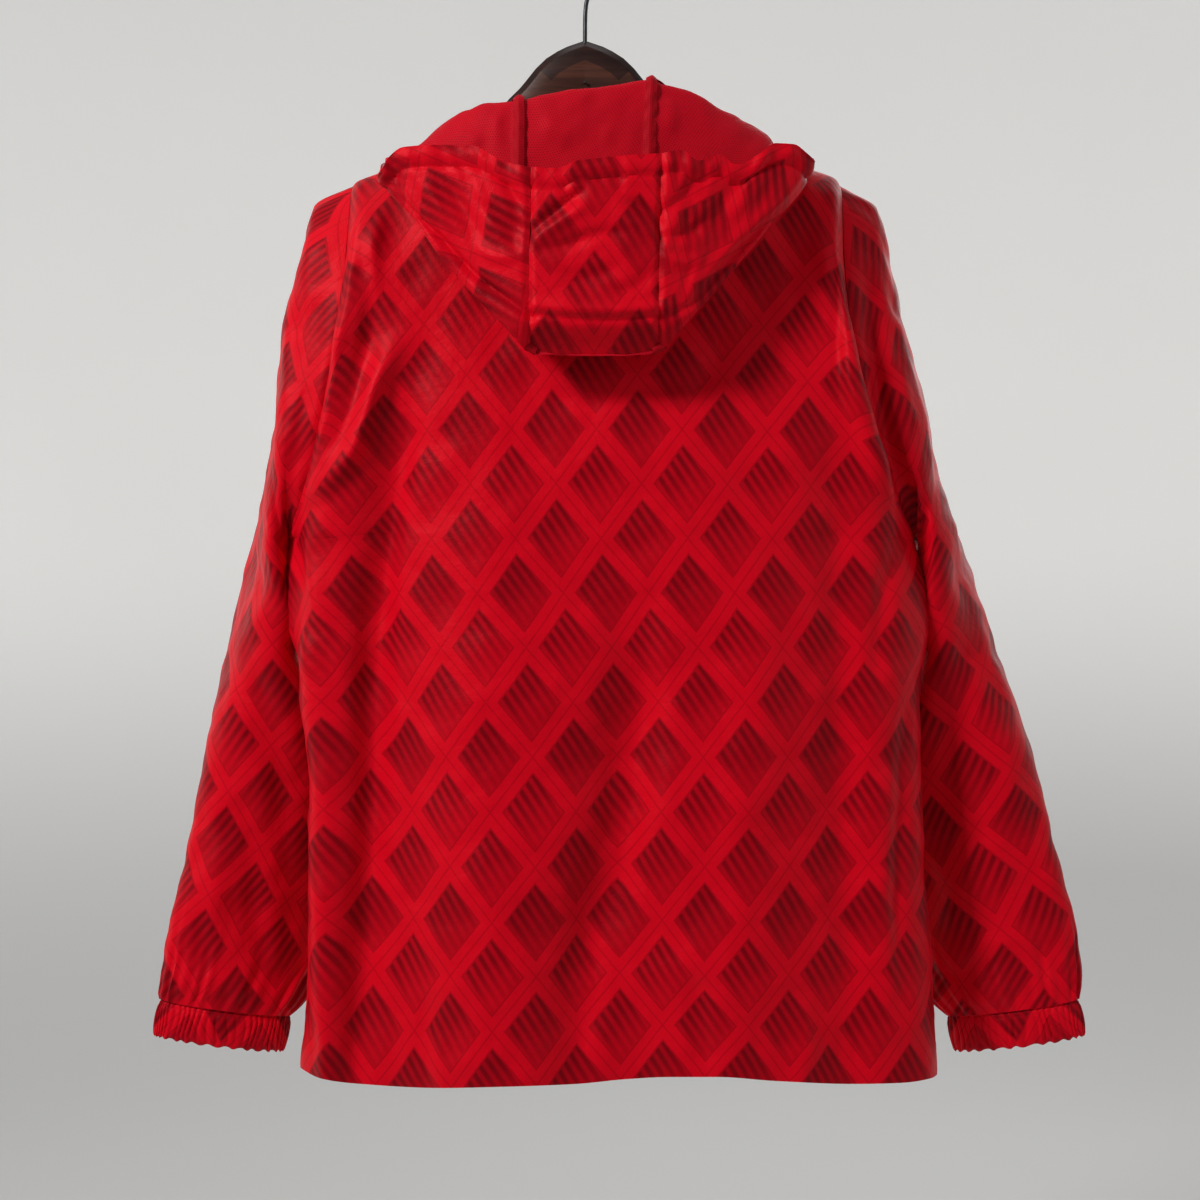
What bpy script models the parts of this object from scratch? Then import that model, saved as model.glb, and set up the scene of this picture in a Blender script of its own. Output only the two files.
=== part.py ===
"""Hooded windbreaker on a contour hanger, its back towards -Y, metres, +Z up, hung at the origin."""
import math

import bmesh
import bpy
import numpy as np

# Cloth: one wall all over, and half of the gap left at every seam.
WALL = 0.0010
HALF_GAP = 0.00018
LAYER_GAP = 0.0003
SEAM_KEY = 1e6

# How many steps each seam has; pieces that meet share the same steps.
ARM_STEPS = 10
SIDE_STEPS = 9
SHOULDER_STEPS = 5
NECK_STEPS = 6
SLEEVE_STEPS = 14
HOOD_STEPS = 20
CENTRE_STEPS = 3
SPREAD_ROWS = 7
CUFF_GATHERS = 56

# Armhole: its highest and lowest point, and how the back and front of the loop leave the line
# between them, inwards and across.
TIP = (0.191, 0.030, -0.184)
UNDERARM = (0.2405, 0.034, -0.460)
ARM_INSET = {"back": 0.017, "front": 0.040}
ARM_REACH = {"back": -0.048, "front": 0.056}

# Neck seam, a half ellipse behind and one in front of the point where it meets the shoulder.
NECK_SIDE = (0.092, 0.012, -0.147)
NECK_BACK = (0.0, -0.028, -0.158)
NECK_FRONT = (0.0, 0.104, -0.206)
ZIP_HALF_GAP = 0.0052

HEM_Z = -0.871
SHOULDER_ROUND = 0.060
SIDE_CROWDING = 1.5


def table(columns, *rows):
    """A table with named columns, one row per section or fold."""
    data = np.array(rows, dtype=float)
    return {name: data[:, k] for k, name in enumerate(columns.split())}


# Torso by height: half width at the side seam, depth of the seam, of the back and of the front.
TORSO = table(
    "z half seam_y back_y front_y",
    (-0.875, 0.2490, 0.034, -0.031, 0.104),
    (-0.760, 0.2430, 0.034, -0.033, 0.106),
    (-0.680, 0.2370, 0.034, -0.0345, 0.108),
    (-0.580, 0.2385, 0.034, -0.0355, 0.109),
    (-0.510, 0.2430, 0.034, -0.0360, 0.1095),
    (-0.460, 0.2405, 0.034, -0.0362, 0.1095),
    (-0.330, 0.2100, 0.0335, -0.0365, 0.108),
    (-0.150, 0.1900, 0.0335, -0.034, 0.100),
)
SQUARENESS = {"back": 3.0, "front": 1.6}
EDGE_POWER = 9

# Sideways lean of the hanging garment by height.
LEAN = table(
    "z x",
    (-0.900, 0.0270),
    (-0.700, 0.0260),
    (-0.580, 0.0230),
    (-0.460, 0.0125),
    (-0.300, 0.0070),
    (-0.160, 0.0095),
    (-0.100, 0.0105),
)

# Long soft folds: place across as a share of the half width, spread, depth inwards, and the
# heights where each starts and is full.
BACK_FOLDS = table(
    "across spread deep top full",
    (-0.70, 0.110, 0.0130, -0.30, -0.56),
    (-0.90, 0.060, -0.0040, -0.36, -0.60),
    (-0.30, 0.150, -0.0050, -0.46, -0.72),
    (0.03, 0.110, 0.0090, -0.52, -0.80),
    (0.34, 0.150, -0.0030, -0.50, -0.70),
    (0.68, 0.120, 0.0070, -0.40, -0.66),
)
FRONT_FOLDS = table(
    "across spread deep top full",
    (-0.62, 0.110, 0.0090, -0.34, -0.62),
    (-0.30, 0.110, -0.0040, -0.44, -0.70),
    (0.34, 0.120, 0.0060, -0.40, -0.66),
    (0.66, 0.110, 0.0080, -0.32, -0.60),
)

# Sleeve by share of its length: outer line, inner line and half thickness.
SLEEVE = table(
    "share out_x out_y out_z in_x in_y in_z half",
    (0.00, 0.1910, 0.030, -0.184, 0.2405, 0.034, -0.460, 0.052),
    (0.05, 0.2125, 0.037, -0.199, 0.2450, 0.040, -0.462, 0.054),
    (0.13, 0.2230, 0.046, -0.244, 0.2485, 0.047, -0.466, 0.057),
    (0.22, 0.2345, 0.053, -0.293, 0.2490, 0.055, -0.472, 0.060),
    (0.31, 0.2510, 0.059, -0.352, 0.2490, 0.063, -0.480, 0.062),
    (0.40, 0.2685, 0.063, -0.410, 0.2480, 0.072, -0.492, 0.063),
    (0.49, 0.2860, 0.066, -0.470, 0.2480, 0.083, -0.512, 0.062),
    (0.58, 0.3025, 0.066, -0.530, 0.2475, 0.086, -0.548, 0.056),
    (0.67, 0.3190, 0.063, -0.592, 0.2290, 0.102, -0.608, 0.051),
    (0.76, 0.3340, 0.059, -0.653, 0.2220, 0.108, -0.670, 0.041),
    (0.85, 0.3485, 0.054, -0.717, 0.2240, 0.108, -0.736, 0.031),
    (0.93, 0.3620, 0.050, -0.778, 0.2420, 0.095, -0.799, 0.024),
    (1.00, 0.3640, 0.047, -0.823, 0.2640, 0.074, -0.842, 0.015),
)
SLEEVE_SETTLE = 0.30
SLEEVE_FOLDS = table(
    "share spread turn width deep",
    (0.10, 0.060, 0.30, 0.50, 0.0050),
    (0.34, 0.050, 0.55, 0.70, 0.0040),
    (0.50, 0.035, 0.20, 0.60, 0.0050),
    (0.58, 0.030, 0.80, 0.60, 0.0030),
    (0.80, 0.035, 0.40, 0.60, 0.0040),
    (0.93, 0.022, 0.60, 0.80, -0.0030),
)

# Cuff: depth along the arm and height of the gathers.
CUFF_DEPTH = 0.029
CUFF_WAVE = 0.0007
CUFF_BULGE = 0.0015
CUFF_INSET = 0.0003

# Hood by step round the neck from the back centre: the fold at the top of the roll, the bottom
# of the far and of the near layer, and the face edge.
HOOD = table(
    "step roll_x roll_y roll_z far_x far_y far_z near_x near_y near_z edge_x edge_y edge_z",
    (0, 0.000, -0.044, -0.129, 0.000, -0.056, -0.320, 0.000, -0.084, -0.330, 0.000, -0.099, -0.192),
    (1, 0.016, -0.043, -0.129, 0.016, -0.056, -0.319, 0.016, -0.084, -0.330, 0.016, -0.099, -0.192),
    (2, 0.032, -0.042, -0.129, 0.032, -0.056, -0.318, 0.032, -0.083, -0.329, 0.032, -0.098, -0.191),
    (3, 0.048, -0.040, -0.131, 0.047, -0.056, -0.316, 0.047, -0.082, -0.327, 0.047, -0.097, -0.190),
    (4, 0.068, -0.036, -0.135, 0.066, -0.056, -0.296, 0.067, -0.079, -0.308, 0.070, -0.093, -0.185),
    (5, 0.089, -0.028, -0.140, 0.090, -0.056, -0.266, 0.093, -0.073, -0.278, 0.100, -0.086, -0.182),
    (6, 0.109, -0.018, -0.148, 0.120, -0.052, -0.226, 0.125, -0.070, -0.238, 0.134, -0.080, -0.182),
    (7, 0.125, -0.002, -0.156, 0.147, -0.028, -0.186, 0.154, -0.047, -0.198, 0.160, -0.064, -0.191),
    (8, 0.124, 0.030, -0.154, 0.141, 0.021, -0.160, 0.152, 0.010, -0.167, 0.162, -0.002, -0.173),
    (9, 0.108, 0.068, -0.158, 0.122, 0.062, -0.156, 0.134, 0.056, -0.157, 0.147, 0.050, -0.158),
    (10, 0.083, 0.087, -0.163, 0.094, 0.087, -0.158, 0.104, 0.086, -0.154, 0.115, 0.085, -0.150),
    (11, 0.043, 0.102, -0.174, 0.049, 0.105, -0.164, 0.055, 0.108, -0.153, 0.061, 0.110, -0.141),
    (12, 0.005, 0.108, -0.186, 0.005, 0.111, -0.168, 0.005, 0.114, -0.150, 0.005, 0.117, -0.132),
)
HOOD_SHARES = (0.0, 0.05, 0.16, 0.56, 0.65, 1.0)
HOOD_STAND = (0.003, -0.001, 0.010)
CASING_ROWS = 2
TAPE_START = 2
TAPE_WIDTH = 0.008
TAPE_WALL = 0.0010
TAPE_LIFT = 0.0006

# Zip: tape from the middle out, row of teeth, slider and pull tab.
ZIP_TAPE = 0.0085
ZIP_SPACING = 0.016
TAPE_MARGIN = 0.0018
CHAIN_HALF = 0.0026
CHAIN_THICK = 0.0025
SLIDER_DROP = 0.0075
SLIDER_HALF_X = 0.0043
SLIDER_HALF_Z = 0.0060
SLIDER_PROUD = 0.0010
SLIDER_EDGE = 0.0006
SLIDER_FACE = 0.86
SLIDER_SIDES = 16
CORNER_POWER = 0.5
CROWN_HOLE = 0.00135
CROWN_OUT = 0.0022
CROWN_HALF = 0.0011
PULL_BAR = 0.0007
PULL_HALF_X = 0.0032
PULL_WINDOW_X = 0.0018
PULL_WINDOW = 0.0046
PULL_LENGTH = 0.0240

# Hanger: centre line of an arm from its middle outwards, with the height and thickness there.
HANGER = table(
    "x y z high thick",
    (0.0000, 0.004, -0.0960, 0.038, 0.013),
    (0.0187, 0.004, -0.1055, 0.037, 0.013),
    (0.0367, 0.005, -0.1252, 0.036, 0.013),
    (0.0516, 0.007, -0.1388, 0.034, 0.013),
    (0.0625, 0.009, -0.1545, 0.031, 0.013),
    (0.0755, 0.011, -0.1695, 0.030, 0.014),
    (0.0950, 0.014, -0.1751, 0.030, 0.015),
    (0.1340, 0.022, -0.1890, 0.029, 0.016),
    (0.1660, 0.029, -0.2025, 0.027, 0.017),
    (0.1745, 0.031, -0.2070, 0.021, 0.012),
)
HANGER_ROUND = 3.2
HANGER_SIDES = 12

# Hook: centre line from the stem's foot in the wood to the start of the bend, then the bend.
HOOK = table(
    "x z",
    (0.0000, -0.0940),
    (0.0000, -0.0700),
    (0.0000, -0.0500),
    (0.0030, -0.0425),
    (0.0095, -0.0365),
    (0.0160, -0.0290),
    (0.0190, -0.0173),
)
HOOK_FOOT = -0.0940
HOOK_WIRE = 0.0017
HOOK_BEND = 0.0190
HOOK_ARC_DEG = 200.0
HOOK_ARC_STEPS = 12
HOOK_SIDES = 10
BORE_GAP = 0.0003

MATERIALS = {
    "shell_cloth": ((0.694, 0.0, 0.011, 1.0), 0.52, 0.0),
    "mesh_lining": ((0.62, 0.004, 0.014, 1.0), 0.7, 0.0),
    "lining_tape": ((0.60, 0.003, 0.012, 1.0), 0.6, 0.0),
    "zip_tape": ((0.55, 0.002, 0.010, 1.0), 0.7, 0.0),
    "zip_teeth": ((0.50, 0.002, 0.010, 1.0), 0.4, 0.0),
    "zip_metal": ((0.55, 0.55, 0.56, 1.0), 0.3, 1.0),
    "dark_wood": ((0.070, 0.030, 0.018, 1.0), 0.38, 0.0),
    "black_wire": ((0.02, 0.02, 0.022, 1.0), 0.35, 1.0),
}


def clear_scene():
    """Empty the scene."""
    for item in list(bpy.data.objects):
        bpy.data.objects.remove(item, do_unlink=True)


def curve(xs, ys, x):
    """Smooth curve through a table's points that never swings past them."""
    steps = np.diff(xs)
    slopes = np.diff(ys) / steps
    ends = np.zeros(len(ys))
    ends[0] = slopes[0]
    ends[-1] = slopes[-1]
    for k in range(1, len(ys) - 1):
        if slopes[k - 1] * slopes[k] > 0.0:
            left = 2.0 * steps[k] + steps[k - 1]
            right = steps[k] + 2.0 * steps[k - 1]
            ends[k] = (left + right) / (left / slopes[k - 1] + right / slopes[k])
    x = min(max(x, xs[0]), xs[-1])
    k = min(int(np.searchsorted(xs, x, side="right")) - 1, len(steps) - 1)
    k = max(k, 0)
    t = (x - xs[k]) / steps[k]
    return ((1.0 + 2.0 * t) * (1.0 - t) ** 2 * ys[k] + t * (1.0 - t) ** 2 * steps[k] * ends[k]
            + t * t * (3.0 - 2.0 * t) * ys[k + 1] + t * t * (t - 1.0) * steps[k] * ends[k + 1])


def look(rows, key, name, value):
    """One column of a table at a value of its key column."""
    return curve(rows[key], rows[name], value)


def ease(low, high, value):
    """Smooth step from 0 at low to 1 at high, for either order of the two."""
    t = min(max((value - low) / (high - low), 0.0), 1.0)
    return t * t * (3.0 - 2.0 * t)


def unit(vector):
    """Vector of length one."""
    return vector / max(float(np.linalg.norm(vector)), 1e-12)


def leaned(points):
    """Points moved by the garment's lean."""
    moved = np.array(points, dtype=float)
    flat = moved.reshape(-1, 3)
    for p in flat:
        p[0] += look(LEAN, "z", "x", p[2])
    return moved


def mirrored(points):
    """Points on the other side of the middle."""
    return np.array(points) * np.array((-1.0, 1.0, 1.0))


def toward(points, others):
    """Half a seam gap from each point towards its partner."""
    return np.array([HALF_GAP * unit(b - a) for a, b in zip(points, others)])


def trimmed(grid, loop):
    """Grid with its edges drawn in by half a seam gap."""
    cut = np.array(grid)
    cut[0] += toward(grid[0], grid[1])
    cut[-1] += toward(grid[-1], grid[-2])
    if not loop:
        rows = np.array(cut)
        cut[:, 0] += toward(rows[:, 0], rows[:, 1])
        cut[:, -1] += toward(rows[:, -1], rows[:, -2])
    return cut


def inward_normals(grid, side, loop):
    """Directions into the wall at each point of a grid."""
    if loop:
        wide = np.concatenate((grid[:, -1:], grid, grid[:, :1]), axis=1)
        across = wide[:, 2:] - wide[:, :-2]
    else:
        across = np.gradient(grid, axis=1)
    normals = np.cross(np.gradient(grid, axis=0), across) * side
    return normals / np.maximum(np.linalg.norm(normals, axis=2, keepdims=True), 1e-12)


def edge_places(grid, loop):
    """Row and column of every point on a grid's edges."""
    rows, columns = grid.shape[:2]
    places = [(i, j) for i in (0, rows - 1) for j in range(columns)]
    if not loop:
        places += [(i, j) for i in range(1, rows - 1) for j in (0, columns - 1)]
    return places


def share_normals(pieces):
    """Give pieces that meet at a seam the same wall direction along it."""
    meeting = {}
    for piece in pieces:
        for place in edge_places(piece["grid"], piece["loop"]):
            key = tuple(np.round(piece["grid"][place] * SEAM_KEY).astype(int))
            meeting.setdefault(key, []).append((piece, place))
    for sharing in meeting.values():
        mean = unit(sum(piece["wall"][place] for piece, place in sharing))
        for piece, place in sharing:
            piece["wall"][place] = mean


def piece_of(name, grid, side, loop=False):
    """A cloth piece before its wall is made; side says which way its wall lies."""
    return {"name": name, "grid": grid, "loop": loop, "wall": inward_normals(grid, side, loop)}


def plain_material(name):
    """Material of one colour."""
    found = bpy.data.materials.get(name)
    if found:
        return found
    colour, roughness, metallic = MATERIALS[name]
    made = bpy.data.materials.new(name)
    made.use_nodes = True
    shader = made.node_tree.nodes["Principled BSDF"]
    shader.inputs["Base Color"].default_value = colour
    shader.inputs["Roughness"].default_value = roughness
    shader.inputs["Metallic"].default_value = metallic
    made.diffuse_color = colour
    return made


def new_object(name, body, material):
    """Link a finished mesh under its name and material, its faces outward."""
    bmesh.ops.recalc_face_normals(body, faces=body.faces)
    mesh = bpy.data.meshes.new(name)
    body.to_mesh(mesh)
    body.free()
    item = bpy.data.objects.new(name, mesh)
    bpy.context.scene.collection.objects.link(item)
    mesh.materials.append(plain_material(material))
    return item


def wall_between(name, outer, inner, material, loop=False):
    """Closed wall between two grids of the same size."""
    rows, columns = outer.shape[:2]
    body = bmesh.new()
    front = [[body.verts.new(p) for p in row] for row in outer]
    back = [[body.verts.new(p) for p in row] for row in inner]
    spans = columns if loop else columns - 1
    for i in range(rows - 1):
        for j in range(spans):
            k = (j + 1) % columns
            body.faces.new((front[i][j], front[i + 1][j], front[i + 1][k], front[i][k]))
            body.faces.new((back[i][j], back[i][k], back[i + 1][k], back[i + 1][j]))
    for i in (0, rows - 1):
        for j in range(spans):
            k = (j + 1) % columns
            body.faces.new((front[i][j], front[i][k], back[i][k], back[i][j]))
    if not loop:
        for j in (0, columns - 1):
            for i in range(rows - 1):
                body.faces.new((front[i][j], back[i][j], back[i + 1][j], front[i + 1][j]))
    return new_object(name, body, material)


def cloth(piece, material="shell_cloth", below=0.0):
    """Wall of a cloth piece, its outer face a little below the piece's own grid."""
    grid = leaned(trimmed(piece["grid"], piece["loop"])) + piece["wall"] * below
    return wall_between(piece["name"], grid, grid + piece["wall"] * WALL, material, piece["loop"])


def loft(name, rings, material):
    """Closed solid through rings of points, with flat ends."""
    body = bmesh.new()
    lines = [[body.verts.new(p) for p in ring] for ring in rings]
    count = len(lines[0])
    for first, second in zip(lines, lines[1:]):
        for j in range(count):
            k = (j + 1) % count
            body.faces.new((first[j], second[j], second[k], first[k]))
    body.faces.new(lines[0])
    body.faces.new(lines[-1])
    return new_object(name, body, material)


def frame_ring(name, outer, inner, low, high, axis, material):
    """Flat ring cut between two outlines of the same count, from low to high along an axis."""
    def place(point, height):
        spot = list(point)
        spot.insert(axis, height)
        return spot
    body = bmesh.new()
    lines = [[body.verts.new(place(p, height)) for p in outline]
             for outline, height in ((outer, low), (outer, high), (inner, high), (inner, low))]
    count = len(outer)
    for k, line in enumerate(lines):
        after = lines[(k + 1) % len(lines)]
        for j in range(count):
            n = (j + 1) % count
            body.faces.new((line[j], line[n], after[n], after[j]))
    return new_object(name, body, material)


def combine(item, other, operation):
    """Apply one solid to another and drop it."""
    change = item.modifiers.new("combine", "BOOLEAN")
    change.operation = operation
    change.solver = "EXACT"
    change.object = other
    bpy.context.view_layer.update()
    graph = bpy.context.evaluated_depsgraph_get()
    mesh = bpy.data.meshes.new_from_object(item.evaluated_get(graph))
    item.modifiers.clear()
    item.data = mesh
    bpy.data.objects.remove(other, do_unlink=True)
    return item


def arm_loop(face, step):
    """Point of the armhole seam, from the shoulder tip down one face to the underarm."""
    turn = math.pi * step / ARM_STEPS
    tip = np.array(TIP)
    under = np.array(UNDERARM)
    point = (tip + under) / 2.0 + (tip - under) / 2.0 * math.cos(turn)
    point[0] -= ARM_INSET[face] * math.sin(turn) ** 2
    point[1] += ARM_REACH[face] * math.sin(turn)
    return point


def side_point(face, row):
    """Outer end of a torso row: on the armhole, then on the side seam."""
    if row <= ARM_STEPS:
        return arm_loop(face, row)
    share = (row - ARM_STEPS) / SIDE_STEPS
    z = UNDERARM[2] + (HEM_Z - UNDERARM[2]) * share
    return np.array((look(TORSO, "z", "half", z), look(TORSO, "z", "seam_y", z), z))


def neck_point(step):
    """Point of the neck seam, steps counted from the back centre to the front centre."""
    side = np.array(NECK_SIDE)
    behind = step <= NECK_STEPS
    end = np.array(NECK_BACK if behind else NECK_FRONT)
    turn = 0.5 * math.pi * min(step, 2 * NECK_STEPS - step) / NECK_STEPS
    away = math.cos(turn)
    x = max(side[0] * math.sin(turn), 0.0 if behind else ZIP_HALF_GAP)
    return np.array((x, side[1] + (end[1] - side[1]) * away, side[2] + (end[2] - side[2]) * away ** 2))


def top_point(face, column):
    """Top edge of a torso panel: neck seam from the middle out, then the shoulder seam."""
    if column <= NECK_STEPS:
        return neck_point(column if face == "back" else 2 * NECK_STEPS - column)
    share = (column - NECK_STEPS) / SHOULDER_STEPS
    side = np.array(NECK_SIDE)
    return side + (np.array(TIP) - side) * share


def fold_depth(folds, across, z):
    """Depth of a panel's folds at a place."""
    total = 0.0
    for k in range(len(folds["deep"])):
        spread = math.exp(-((across - folds["across"][k]) / folds["spread"][k]) ** 2)
        total += folds["deep"][k] * spread * ease(folds["top"][k], folds["full"][k], z)
    return total


def torso_point(face, row, column):
    """Point of one half of the back or of a front before folds, and its share of the width."""
    columns = NECK_STEPS + SHOULDER_STEPS
    top = top_point(face, column)
    end = side_point(face, row)
    spread = 1.0 - (1.0 - column / columns) ** SIDE_CROWDING
    out = top[0] / TIP[0]
    out += (spread - out) * ease(0, SPREAD_ROWS, row)
    if face == "front":
        out = max(out, ZIP_HALF_GAP / end[0])
    fade = max(0.0, 1.0 - row / ARM_STEPS)
    z = end[2] + (top[2] - TIP[2]) * fade
    bow = SQUARENESS[face]
    level = look(TORSO, "z", face + "_y", z)
    seam = look(TORSO, "z", "seam_y", z)
    y = seam + (level - seam) * max(0.0, 1.0 - out ** bow) ** (1.0 / bow)
    y += (end[1] - seam) * out ** EDGE_POWER
    down = min(max((top[2] - z) / SHOULDER_ROUND, 0.0), 1.0)
    turned = math.sqrt(1.0 - (1.0 - down) ** 2)
    turned += (1.0 - turned) * out ** EDGE_POWER
    if row == 0:
        turned = 0.0
    return np.array((end[0] * out, top[1] + (y - top[1]) * turned, z)), out


def torso_half(face, side, folds):
    """Half of the torso's back or front, columns from the middle to the side."""
    inward = 1.0 if face == "back" else -1.0
    rows = []
    for row in range(ARM_STEPS + SIDE_STEPS + 1):
        line = []
        for column in range(NECK_STEPS + SHOULDER_STEPS + 1):
            point, out = torso_point(face, row, column)
            keep = 1.0 - out ** EDGE_POWER
            point[1] += inward * keep * fold_depth(folds, side * out, point[2])
            point[0] *= side
            line.append(point)
        rows.append(line)
    return np.array(rows)


def torso_pieces():
    """Back panel in one piece and the two fronts."""
    left = torso_half("back", -1.0, BACK_FOLDS)
    right = torso_half("back", 1.0, BACK_FOLDS)
    back = np.concatenate((left[:, :0:-1], right), axis=1)
    return [piece_of("back", back, -1.0),
            piece_of("front_right", torso_half("front", 1.0, FRONT_FOLDS), 1.0),
            piece_of("front_left", torso_half("front", -1.0, FRONT_FOLDS), -1.0)]


def sleeve_ends(share):
    """Outer and inner line of the sleeve at a share."""
    return [np.array([look(SLEEVE, "share", line + axis, share) for axis in "xyz"])
            for line in ("out_", "in_")]


def sleeve_axis():
    """Direction of the arm at the cuff, square to the cuff's seam."""
    ahead = sum(sleeve_ends(1.0)) - sum(sleeve_ends(0.93))
    out, inn = sleeve_ends(1.0)
    across = sleeve_frame(1.0)[2]
    level = unit(out - inn)
    ahead = ahead - level * np.dot(ahead, level)
    return unit(ahead - unit(across) * np.dot(ahead, unit(across)))


def sleeve_frame(share):
    """Middle, half width vector and half thickness vector of the sleeve at a share."""
    out, inn = sleeve_ends(share)
    width = (out - inn) / 2.0
    level = unit(width)
    across = np.array((0.0, 1.0, 0.0)) - level * level[1]
    return (out + inn) / 2.0, width, unit(across) * look(SLEEVE, "share", "half", share)


def sleeve_round(share, turn):
    """Plain section of the sleeve at a share and a turn from its outer line."""
    middle, width, across = sleeve_frame(share)
    return middle + width * math.cos(turn) - across * math.sin(turn)


def sleeve_fold(share, turn):
    """Depth of the sleeve's folds at a place."""
    total = 0.0
    for k in range(len(SLEEVE_FOLDS["deep"])):
        along = math.exp(-((share - SLEEVE_FOLDS["share"][k]) / SLEEVE_FOLDS["spread"][k]) ** 2)
        gap = math.remainder(turn - math.pi * SLEEVE_FOLDS["turn"][k], 2.0 * math.pi)
        total += SLEEVE_FOLDS["deep"][k] * along * math.exp(-(gap / SLEEVE_FOLDS["width"][k]) ** 2)
    return total


def sleeve_point(share, step):
    """Point of the sleeve, from the armhole loop to the cuff."""
    turn = math.pi * step / ARM_STEPS
    point = sleeve_round(share, turn)
    face = "back" if step <= ARM_STEPS else "front"
    start = arm_loop(face, min(step, 2 * ARM_STEPS - step))
    settle = max(0.0, 1.0 - share / SLEEVE_SETTLE) ** 2
    point = point + (start - sleeve_round(0.0, turn)) * settle
    hold = ease(0.0, 0.06, share) * ease(1.0, 0.96, share)
    return point + unit(sleeve_frame(share)[0] - point) * sleeve_fold(share, turn) * hold


def sleeve_piece(name, side):
    """One sleeve as rings from the armhole to the cuff seam."""
    grid = np.array([[sleeve_point(ring / SLEEVE_STEPS, step) for step in range(2 * ARM_STEPS)]
                     for ring in range(SLEEVE_STEPS + 1)])
    piece = piece_of(name, grid, 1.0, loop=True)
    axis = sleeve_axis()
    level = piece["wall"][-1] - np.outer(piece["wall"][-1] @ axis, axis)
    piece["wall"][-1] = level / np.linalg.norm(level, axis=1, keepdims=True)
    if side < 0.0:
        piece["grid"] = mirrored(piece["grid"])
        piece["wall"] = mirrored(piece["wall"])
    return piece


def make_cuff(name, side):
    """Gathered cuff below one sleeve."""
    middle, width, across = sleeve_frame(1.0)
    axis = sleeve_axis()
    count = 2 * CUFF_GATHERS
    rings = []
    walls = []
    for along in (0.0, 0.5, 1.0):
        swell = CUFF_BULGE * math.sin(math.pi * along) - CUFF_WAVE - CUFF_INSET
        ring = []
        wall = []
        for j in range(count):
            turn = 2.0 * math.pi * j / count
            out = unit(width / np.dot(width, width) * math.cos(turn)
                       - across / np.dot(across, across) * math.sin(turn))
            wave = CUFF_WAVE * (1.0 if j % 2 else -1.0)
            down = axis * (2.0 * HALF_GAP + CUFF_DEPTH * along)
            ring.append(middle + width * math.cos(turn) - across * math.sin(turn)
                        + out * (wave + swell) + down)
            wall.append(-out)
        rings.append(ring)
        walls.append(wall)
    grid = np.array(rings)
    wall = np.array(walls)
    if side < 0.0:
        grid = mirrored(grid)
        wall = mirrored(wall)
    grid = leaned(grid)
    return wall_between(name, grid, grid + wall * WALL, "shell_cloth", loop=True)


def hood_point(step, share):
    """Point of the hood between the neck seam and the face edge."""
    neck = neck_point(step)
    away = unit(neck - np.array((0.0, neck[1], neck[2]))) if step else np.zeros(3)
    stand = neck + away * HOOD_STAND[0] + np.array((0.0, HOOD_STAND[1], HOOD_STAND[2]))
    keys = [neck, stand]
    for name in ("roll_", "far_", "near_", "edge_"):
        keys.append(np.array([look(HOOD, "step", name + axis, step) for axis in "xyz"]))
    keys = np.array(keys)
    return np.array([curve(HOOD_SHARES, keys[:, k], share) for k in range(3)])


def hood_half(side):
    """One half of the hood, columns from the back centre to the front, rows from neck to edge."""
    grid = np.array([[hood_point(step, row / HOOD_STEPS) for step in range(2 * NECK_STEPS + 1)]
                     for row in range(HOOD_STEPS + 1)])
    return grid if side > 0.0 else mirrored(grid)


def hood_pieces():
    """Hood shell in three panels."""
    right = hood_half(1.0)
    left = hood_half(-1.0)
    span = CENTRE_STEPS + 1
    centre = np.concatenate((left[:, span - 1:0:-1], right[:, :span]), axis=1)
    return [piece_of("hood_centre", centre, 1.0),
            piece_of("hood_right", right[:, CENTRE_STEPS:], 1.0),
            piece_of("hood_left", left[:, CENTRE_STEPS:], -1.0)]


def make_lining(shell):
    """Mesh lining inside one hood panel, up to the casing of the face edge."""
    rows = HOOD_STEPS + 1 - CASING_ROWS
    piece = {"name": shell["name"].replace("hood_", "hood_lining_"), "loop": False,
             "grid": shell["grid"][:rows], "wall": shell["wall"][:rows]}
    return cloth(piece, "mesh_lining", WALL + LAYER_GAP)


def make_tape(name, centre, side_panel, edge):
    """Binding over one lining seam, lying on both panels' linings."""
    rows = slice(TAPE_START, HOOD_STEPS - CASING_ROWS)
    beside = edge - 1 if edge < 0 else edge + 1
    points = []
    walls = []
    for panel, line, partner in ((centre, edge, beside), (centre, edge, edge), (side_panel, 0, 1)):
        start = panel["grid"][rows, line]
        other = panel["grid"][rows, partner]
        apart = np.maximum(np.linalg.norm(other - start, axis=1, keepdims=True), TAPE_WIDTH)
        share = np.zeros_like(apart) if partner == line else TAPE_WIDTH / 2.0 / apart
        points.append(start + (other - start) * share)
        wall = panel["wall"][rows, line] * (1.0 - share) + panel["wall"][rows, partner] * share
        walls.append(wall / np.linalg.norm(wall, axis=1, keepdims=True))
    points = leaned(np.stack(points, axis=1))
    walls = np.stack(walls, axis=1)
    outer = points + walls * (2.0 * WALL + 2.0 * LAYER_GAP + TAPE_LIFT)
    return wall_between(name, outer, outer + walls * TAPE_WALL, "lining_tape")


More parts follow.
